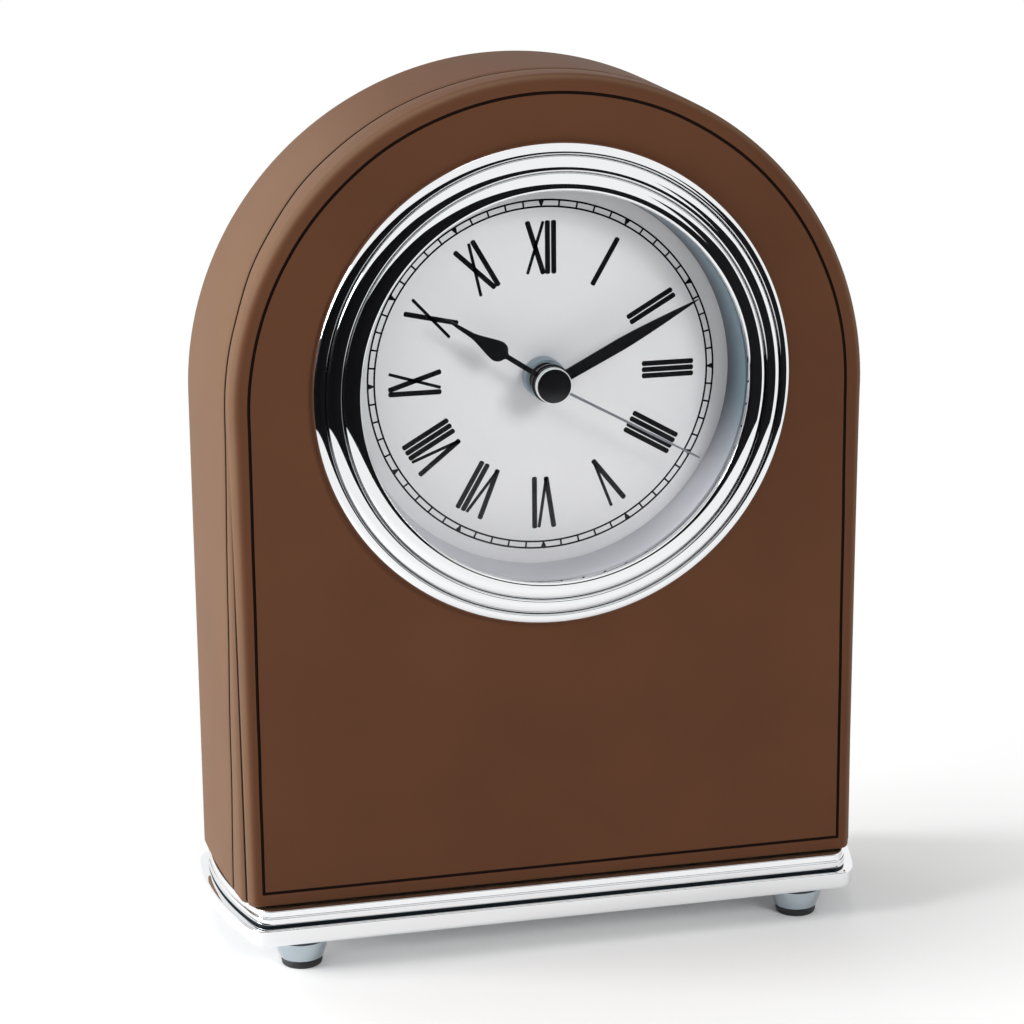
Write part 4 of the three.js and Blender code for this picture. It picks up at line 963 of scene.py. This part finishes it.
class CLOCK_OT_lens(bpy.types.Operator):
    """Make the clear disc and the sloping wall behind it"""

    bl_idname = "clock.lens"
    bl_label = "Lens and wall"

    def execute(self, context):
        radius, front, rear = LENS_HIGH.x, LENS_LOW.y, LENS_HIGH.y
        disc = [(0, front), (radius, front), (radius, rear), (0, rear)]
        turned_piece("clear_lens", rounded(disc, 0.25 * MM), "glass", "insert", "lens")
        outer, front, rear = WALL_HIGH.x, WALL_LOW.y, WALL_HIGH.y
        wall = [(outer, front), (LIP_RADIUS, front), (34.75 * MM, front + 1 * MM),
                (34.3 * MM, rear), (outer, rear), (outer, rear - 0.8 * MM),
                (35.1 * MM, rear - 0.8 * MM), (35.6 * MM, front + 0.8 * MM),
                (outer, front + 0.8 * MM), (outer, front)]
        turned_piece("pale_wall_ring", rounded(wall, 0.15 * MM), "pale_wall", "insert",
                     "wall_ring")
        return {"FINISHED"}


def stroke(start, end, width):
    """A straight pen stroke with rounded ends, as one outline of [x, z] points."""
    start, end = Vector(start), Vector(end)
    along = (end - start).normalized()
    across = Vector((-along.y, along.x)) * width / 2
    outline = []
    for centre, facing in ((end, 1), (start, -1)):
        for k in range(7):
            turn = math.pi * k / 6
            outline.append(centre - across * facing * math.cos(turn)
                           + along * facing * width * 0.32 * math.sin(turn))
    return outline


NUMERALS = ["XII", "I", "II", "III", "IIII", "V", "VI", "VII", "VIII", "IX", "X", "XI"]

# Width of each letter, height of its foot, and for each stroke, thick ones first, the side
# of its foot and of its head
LETTERS = {
    "I": (1.12 * MM, 0, [(0, 0)]),
    "V": (3.2 * MM, 0.1 * MM, [(0, -1), (0, 1)]),
    "X": (3.3 * MM, 0, [(1, -1), (-1, 1)]),
}


def numeral_strokes(text, face):
    """The strokes of one numeral, centred on x = 0, from its foot at z = 0 upward."""
    left = -sum(LETTERS[letter][0] for letter in text) / 2
    strokes = []
    for letter in text:
        width, foot, sides = LETTERS[letter]
        middle = left + width / 2
        spread = width / 2 - 0.25 * MM
        for (below, above), pen in zip(sides, (face.thick_stroke, face.thin_stroke)):
            strokes.append(stroke((middle + below * spread, foot),
                                  (middle + above * spread, face.numeral_height), pen))
        left += width
    return strokes


def on_dial(point, hour_turn):
    """Turns a point drawn at twelve o'clock clockwise to its place on the dial."""
    cosine, sine = math.cos(hour_turn), math.sin(hour_turn)
    return point[0] * cosine + point[1] * sine, point[1] * cosine - point[0] * sine


def printed(outlines, thickness):
    """Raised print: each outline becomes a face in front of the dial, with its rim."""
    points, faces = [], []
    for outline in outlines:
        start, size = len(points), len(outline)
        for depth in (DIAL_LOW.y - thickness, DIAL_LOW.y):
            points += [(x, depth, DIAL_Z + z) for x, z in outline]
        faces.append(tuple(range(start, start + size)))
        for i in range(size):
            near, far = start + i, start + (i + 1) % size
            faces.append((near, near + size, far + size, far))
    return points, faces


class CLOCK_OT_dial(bpy.types.Operator):
    """Make the dial, its numerals and its minute track"""

    bl_idname = "clock.dial"
    bl_label = "Dial"

    def execute(self, context):
        face = context.scene.clock_dial
        radius, hole, front, rear = DIAL_HIGH.x, 2.9 * MM, DIAL_LOW.y, DIAL_HIGH.y
        disc = [(hole, rear), (hole, front), (radius, front), (radius, rear), (hole, rear)]
        turned_piece("dial_disc", rounded(disc, 0.08 * MM), "dial_face", "insert", "dial")

        numerals = []
        for hour, text in enumerate(NUMERALS):
            turn = math.radians(hour * 30)
            numerals += [[on_dial((x, z + face.numeral_foot), turn) for x, z in outline]
                         for outline in numeral_strokes(text, face)]
        points, faces = printed(numerals, 0.03 * MM)
        place_piece("dial_numerals", points, faces, ["hand_black"], "insert", None, 30)

        line, foot, top = face.track_line, face.track_inner, face.track_outer
        track = []
        for minute in range(60):
            wide_foot, wide_top = (line / 2, line / 2) if minute % 5 else (0.1 * MM, 0.55 * MM)
            mark = [(-wide_foot, foot), (wide_foot, foot), (wide_top, top), (-wide_top, top)]
            track.append([on_dial(point, math.radians(minute * 6)) for point in mark])
        points, faces = printed(track, 0.028 * MM)
        raised = front - 0.03 * MM
        for circle in (foot, top):
            inner, outer = circle - line / 2, circle + line / 2
            band = [(inner, front), (inner, raised), (outer, raised), (outer, front)]
            join(points, faces, *revolve(band, (0, DIAL_Z)))
        place_piece("dial_track", points, faces, ["hand_black"], "insert", None, 30)
        return {"FINISHED"}


# Hands

# Right half of each hand, pointing up: the hour hand has a stem, a heart and a drawn-out
# point, the minute hand a long taper, and the second hand is a needle
HOUR_HALF = [
    (0.48 * MM, 0),
    (0.46 * MM, 9.0 * MM),
    *joined_curves([
        (8, (0.46, 9.3), (0.6, 9.9), (1.75, 9.7), (1.85, 11.3)),
        (10, (1.85, 11.3), (1.8, 12.6), (0.9, 14.5), (0.5, 16.8)),
        (6, (0.5, 16.8), (0.4, 18.4), (0.4, 20), (0.08, 22.6)),
    ], MM),
    (0.05 * MM, 22.6 * MM),
]
MINUTE_HALF = [
    (1.02 * MM, 0),
    *joined_curves([(12, (1.15, 14), (1.1, 19), (0.08, 30))], MM),
    (0.06 * MM, 30 * MM),
]
SECOND_HALF = [(0.26 * MM, 0), (0.17 * MM, 30.6 * MM)]


def hand_piece(name, node, half, degrees, slot, body, hub_radius, thickness=None):
    """A flat hand with eased edges, turned clockwise to its angle, over a round hub.

    The hand is as thick as its solid unless it has a thickness of its own.
    """
    low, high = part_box(node)
    front = high.y - thickness if thickness else low.y
    outline = [*half, *[(-x, z) for x, z in reversed(half)]]
    rings = []
    for depth, ease in ((high.y, 0.0), (front + 0.07 * MM, 0.0), (front, 0.07 * MM)):
        ring = []
        for x, z in outline:
            narrow = max(abs(x) - ease, abs(x) * 0.3)
            across, up = on_dial((math.copysign(narrow, x), z), math.radians(degrees))
            ring.append((across, depth, up + DIAL_Z))
        rings.append(ring)
    points, faces = skin(rings)
    faces.append(tuple(range(len(outline))))
    close_end(points, faces, len(outline))
    hub = [(0, high.y), (hub_radius, high.y), (hub_radius, low.y), (0, low.y)]
    join(points, faces, *revolve(rounded(hub, 0.12 * MM), (0, DIAL_Z), SMALL_STEPS))
    place_piece(name, points, faces, [slot], body, node, 32)


class CLOCK_OT_hands(bpy.types.Operator):
    """Make the three hands, the nut under them and the cap over them"""

    bl_idname = "clock.hands"
    bl_label = "Hands"

    def execute(self, context):
        hand_piece("hour_blade", "hour_hand", HOUR_HALF, 303.8, "hand_black", "hours",
                   3.5 * MM, 0.3 * MM)
        hand_piece("minute_blade", "minute_hand", MINUTE_HALF, 63, "hand_black", "minutes",
                   3.3 * MM, 0.3 * MM)
        hand_piece("second_needle", "second_hand", SECOND_HALF, 119, "hand_steel", "seconds",
                   2.85 * MM)

        def small_piece(name, profile, radius, slot, body, node=None):
            return turned_piece(name, rounded(profile, radius), slot, body, node,
                                steps=SMALL_STEPS)

        nut_metal = finish("nut_steel", (0.34, 0.42, 0.48), 0.35, 0.4, relief=0)
        inner, outer, rear, front = 2.95 * MM, 3.7 * MM, DIAL_LOW.y, DIAL_LOW.y - 2.6 * MM
        nut = [(inner, rear), (outer, rear), (outer, front), (inner, front), (inner, rear)]
        small_piece("dial_nut", nut, 0.2 * MM, nut_metal, "insert")
        low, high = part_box("cap")
        radius, front, rear, stem = high.x, low.y, high.y, 2.9 * MM
        lip, floor, shoulder = radius - 0.16 * MM, front + 0.28 * MM, rear + 0.5 * MM
        cup = [(0, floor), (lip, floor), (lip, front + 0.05 * MM), (radius, front + 0.1 * MM),
               (radius, shoulder), (stem, shoulder), (stem, rear), (0, rear)]
        silver = finish("cap_silver", (0.80, 0.82, 0.84), 0.4, 0.2, relief=0)
        small_piece("cap_cup", cup, 0.05 * MM, silver, "seconds", "cap")
        edge, back = lip - 0.02 * MM, front + 0.24 * MM
        disc = [(0, back), (edge, back), (edge, front), (0, front)]
        small_piece("cap_disc", disc, 0.05 * MM, "hand_black", "seconds", "cap_face")
        return {"FINISHED"}


# Back of the insert

class CLOCK_OT_rear_fittings(bpy.types.Operator):
    """Make the battery and the setting knob behind the dial"""

    bl_idname = "clock.rear_fittings"
    bl_label = "Rear fittings"

    def execute(self, context):
        low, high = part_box("battery")
        half, radius = (high.x - low.x) / 2, (high.z - low.z) / 2
        centre = (low + high) / 2
        shoulder = half - 1 * MM
        jacket = [(4.3 * MM, -half + 0.4 * MM), (4.4 * MM, -half + 0.2 * MM),
                  (radius, -half + 0.2 * MM), (radius, shoulder - 0.3 * MM),
                  (4.6 * MM, shoulder - 0.1 * MM), (4.4 * MM, shoulder - 0.3 * MM)]
        ends = [(0, -half), (4.1 * MM, -half), (4.15 * MM, -half + 0.4 * MM)]
        nub = [(4.5 * MM, shoulder - 0.25 * MM), (1.95 * MM, shoulder - 0.2 * MM),
               (1.9 * MM, half), (0, half)]
        profile = [*ends, *rounded(jacket, 0.25 * MM), *rounded(nub, 0.2 * MM)]
        points, faces = revolve(profile, steps=SMALL_STEPS)
        jacket_edge = 4.25 * MM
        metal = []
        for face in faces:
            spread = sum(math.hypot(points[i][0], points[i][2]) for i in face) / len(face)
            metal.append(0 if spread > jacket_edge else 1)
        points = [(centre.x + along, centre.y + x, centre.z + z) for x, along, z in points]
        place_piece("dry_cell", points, faces, ["battery_jacket", "tin"], "battery", "battery",
                    40, metal)

        low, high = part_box("set_knob")
        centre, front, rear = (low + high) / 2, low.y, high.y
        steps = 120
        profile = [(0.4, front), (1, front), (1, rear), (0.76, rear), (0.6, rear - 0.5 * MM),
                   (0.05, rear - 0.5 * MM)]
        rings = []
        for radius, depth in rounded([(s * 4.2 * MM, d) for s, d in profile], 0.25 * MM):
            ring = []
            for k in range(steps):
                turn = 2 * math.pi * k / steps
                ribs = 0.35 * MM * (1 - math.cos(turn * 10)) / 2 if radius > 3.6 * MM else 0
                reach = radius - ribs
                ring.append((centre.x + reach * math.cos(turn), depth,
                             centre.z + reach * math.sin(turn)))
            rings.append(ring)
        points, faces = skin(rings)
        close_end(points, faces, steps)
        place_piece("setting_knob", points, faces, ["black_plastic"], "setting", "set_knob", 35)
        return {"FINISHED"}


# Stage

def stage_object(name, data, place=(0, 0, 0), aim=None, facing="-Z"):
    """An object of the stage, with one of its sides turned to a point if it has an aim."""
    thing = bpy.data.objects.new(name, data)
    thing.location = place
    if aim:
        thing.rotation_mode = "QUATERNION"
        thing.rotation_quaternion = (Vector(aim) - Vector(place)).to_track_quat(facing, "Y")
    bpy.context.scene.collection.objects.link(thing)
    return thing


def stage_mesh(name, points, faces, material):
    """A mesh with one material, for an object of the stage."""
    mesh = bpy.data.meshes.new(name)
    mesh.from_pydata(points, [], faces)
    mesh.materials.append(material)
    return mesh


# Top edge of the dark screen: degrees from the front to the left, and degrees above the dial
SCREEN_TOP = [(-62, 16), (-34, 24), (-32, 5), (-14, 11), (0, 20), (20, 27), (45, 27), (70, 21),
              (90, 8), (105, 2), (125, 1)]
SCREEN_STEPS = 187


def curved_screen(name, radius, outline, material):
    """A screen round the front of the clock that shows in reflections only.

    It stands on the floor, and its top edge follows an outline.
    """
    points = []
    for k in range(SCREEN_STEPS + 1):
        turn = blend(outline[0][0], outline[-1][0], k / SCREEN_STEPS)
        angle = math.radians(turn)
        top = DIAL_Z + radius * math.tan(math.radians(level_at(outline, turn)))
        points += [(-radius * math.sin(angle), -radius * math.cos(angle), z)
                   for z in (1 * MM, top)]
    faces = [(2 * k, 2 * k + 2, 2 * k + 3, 2 * k + 1) for k in range(SCREEN_STEPS)]
    screen = stage_object(name, stage_mesh(name, points, faces, material))
    screen.visible_camera = screen.visible_shadow = screen.visible_diffuse = False


def area_light(name, place, size, power):
    """A soft square light aimed at the middle of the clock."""
    lamp = bpy.data.lights.new(name, "AREA")
    lamp.shape = "RECTANGLE"
    lamp.size = lamp.size_y = size
    lamp.energy = power
    return stage_object(name, lamp, place, (0, 0, 0.08))


# Distances from the clock's middle where the floor starts and ends to turn white
FLOOR_FADE = (0.075, 0.18)


def floor_material(colour):
    """Pale paper that keeps the shadow near the clock and turns plain white further out."""
    material, tree, place = new_material("floor_paper")
    cloud = add_noise(tree, place, 0.05)
    set_shader(tree, {
        "Base Color": add_ramp(tree, cloud, shade(colour, 0.995), shade(colour, 1.005)),
        "Roughness": 0.7,
        "Specular IOR Level": 0.1,
    })
    distance = add_node(tree, "ShaderNodeVectorMath", {0: place}, operation="LENGTH")
    far = add_node(tree, "ShaderNodeMapRange", {
        "Value": distance.outputs["Value"], "From Min": FLOOR_FADE[0], "From Max": FLOOR_FADE[1]},
        interpolation_type="SMOOTHSTEP")
    share = add_node(tree, "ShaderNodeMath", {0: far.outputs["Result"], 1: seen_directly(tree)},
                     operation="MULTIPLY")
    mix = add_node(tree, "ShaderNodeMixShader", {
        "Fac": share.outputs["Value"],
        1: tree.nodes["Principled BSDF"].outputs["BSDF"],
        2: add_node(tree, "ShaderNodeEmission").outputs["Emission"],
    })
    connect(tree, tree.nodes["Material Output"], {"Surface": mix.outputs["Shader"]})
    return material


def white_room(scene, sky):
    """White surroundings: plain white for the camera, softer for everything else."""
    world = bpy.data.worlds.new("white_room")
    world.use_nodes = True
    tree = world.node_tree
    connect(tree, tree.nodes["Background"], {
        "Color": (1, 1, 1, 1), "Strength": add_range(tree, seen_directly(tree), sky, 1.0)})
    scene.world = world


# Sideways and upward shift of the photograph on the sensor
CAMERA_SHIFT = (-0.01756, -0.01363)


def photo_camera(scene, stage):
    """The camera at the photograph's angle."""
    target = Vector((0, 0, CROWN_Z / 2))
    yaw, pitch, roll = stage.camera_yaw, stage.camera_pitch, stage.camera_roll
    back = Vector((-math.sin(yaw) * math.cos(pitch), -math.cos(yaw) * math.cos(pitch),
                   math.sin(pitch)))
    right = Vector((math.cos(yaw), -math.sin(yaw), 0))
    up = back.cross(right)
    turned_right = right * math.cos(roll) - up * math.sin(roll)
    turned_up = right * math.sin(roll) + up * math.cos(roll)
    data = bpy.data.cameras.new("photo_camera")
    data.lens = stage.lens
    data.sensor_width = 36
    data.shift_x, data.shift_y = CAMERA_SHIFT
    data.clip_start = 0.01
    camera = bpy.data.objects.new("photo_camera", data)
    axes = Matrix((turned_right, turned_up, back)).transposed()
    camera.matrix_world = Matrix.Translation(target + back * stage.camera_distance) @ axes.to_4x4()
    scene.collection.objects.link(camera)
    scene.camera = camera


class CLOCK_OT_stage(bpy.types.Operator):
    """Set the floor, the white room, the lights, the dark screen and the camera"""

    bl_idname = "clock.stage"
    bl_label = "Stage"

    def execute(self, context):
        scene = context.scene
        stage = scene.clock_stage
        white_room(scene, stage.sky)
        corners = [(-3, -3, 0), (3, -3, 0), (3, 3, 0), (-3, 3, 0)]
        paper = stage_mesh("paper_floor", corners, [(0, 1, 2, 3)],
                           floor_material(stage.floor_colour))
        stage_object("paper_floor", paper, aim=(0, 0, 1), facing="Z")
        cloth = finish("dark_cloth", (0.007, 0.007, 0.008), 0.9, relief=0, specular=0)
        curved_screen("dark_screen", 0.3, SCREEN_TOP, cloth)
        key = area_light("key_light", (0.5, -1.1, 0.65), 0.4, stage.key_power)
        key.visible_glossy = False
        area_light("fill_light", (-1.0, 0.05, 0.35), 0.6, stage.fill_power)
        area_light("top_light", (-0.1, 0.45, 1.25), 0.7, stage.top_power)
        photo_camera(scene, stage)
        scene.view_settings.view_transform = "Standard"
        return {"FINISHED"}


PIECES = ["materials", "front_leather", "side_leather", "back_leather", "base", "feet", "bezel",
          "lens", "dial", "hands", "rear_fittings", "stage"]


class CLOCK_PT_panel(bpy.types.Panel):
    """Buttons for each piece of the clock and its stage"""

    bl_idname = "CLOCK_PT_panel"
    bl_label = "Dome Clock"
    bl_space_type = "VIEW_3D"
    bl_region_type = "UI"
    bl_category = "Dome Clock"

    def draw(self, context):
        for piece in PIECES:
            self.layout.operator(f"clock.{piece}")


SETTINGS = {
    "clock_leather": LeatherSettings,
    "clock_chrome": ChromeSettings,
    "clock_dial": DialSettings,
    "clock_stage": StageSettings,
}
CLASSES = [
    *SETTINGS.values(), SlotMaterial, CLOCK_OT_materials, CLOCK_OT_front_leather,
    CLOCK_OT_side_leather, CLOCK_OT_back_leather, CLOCK_OT_base, CLOCK_OT_feet, CLOCK_OT_bezel,
    CLOCK_OT_lens, CLOCK_OT_dial, CLOCK_OT_hands, CLOCK_OT_rear_fittings, CLOCK_OT_stage,
    CLOCK_PT_panel,
]


def register():
    """Adds the classes and the clock's settings to Blender."""
    for each in CLASSES:
        bpy.utils.register_class(each)
    for name, group in SETTINGS.items():
        setattr(bpy.types.Scene, name, bpy.props.PointerProperty(type=group))
    bpy.types.Scene.clock_slots = bpy.props.CollectionProperty(type=SlotMaterial)


def unregister():
    """Takes the settings and the classes out again."""
    del bpy.types.Scene.clock_slots
    for name in SETTINGS:
        delattr(bpy.types.Scene, name)
    for each in reversed(CLASSES):
        bpy.utils.unregister_class(each)


def main():
    """Builds every piece in order."""
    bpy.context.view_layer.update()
    register()
    for piece in PIECES:
        getattr(bpy.ops.clock, piece)()


if __name__ == "__main__":
    main()
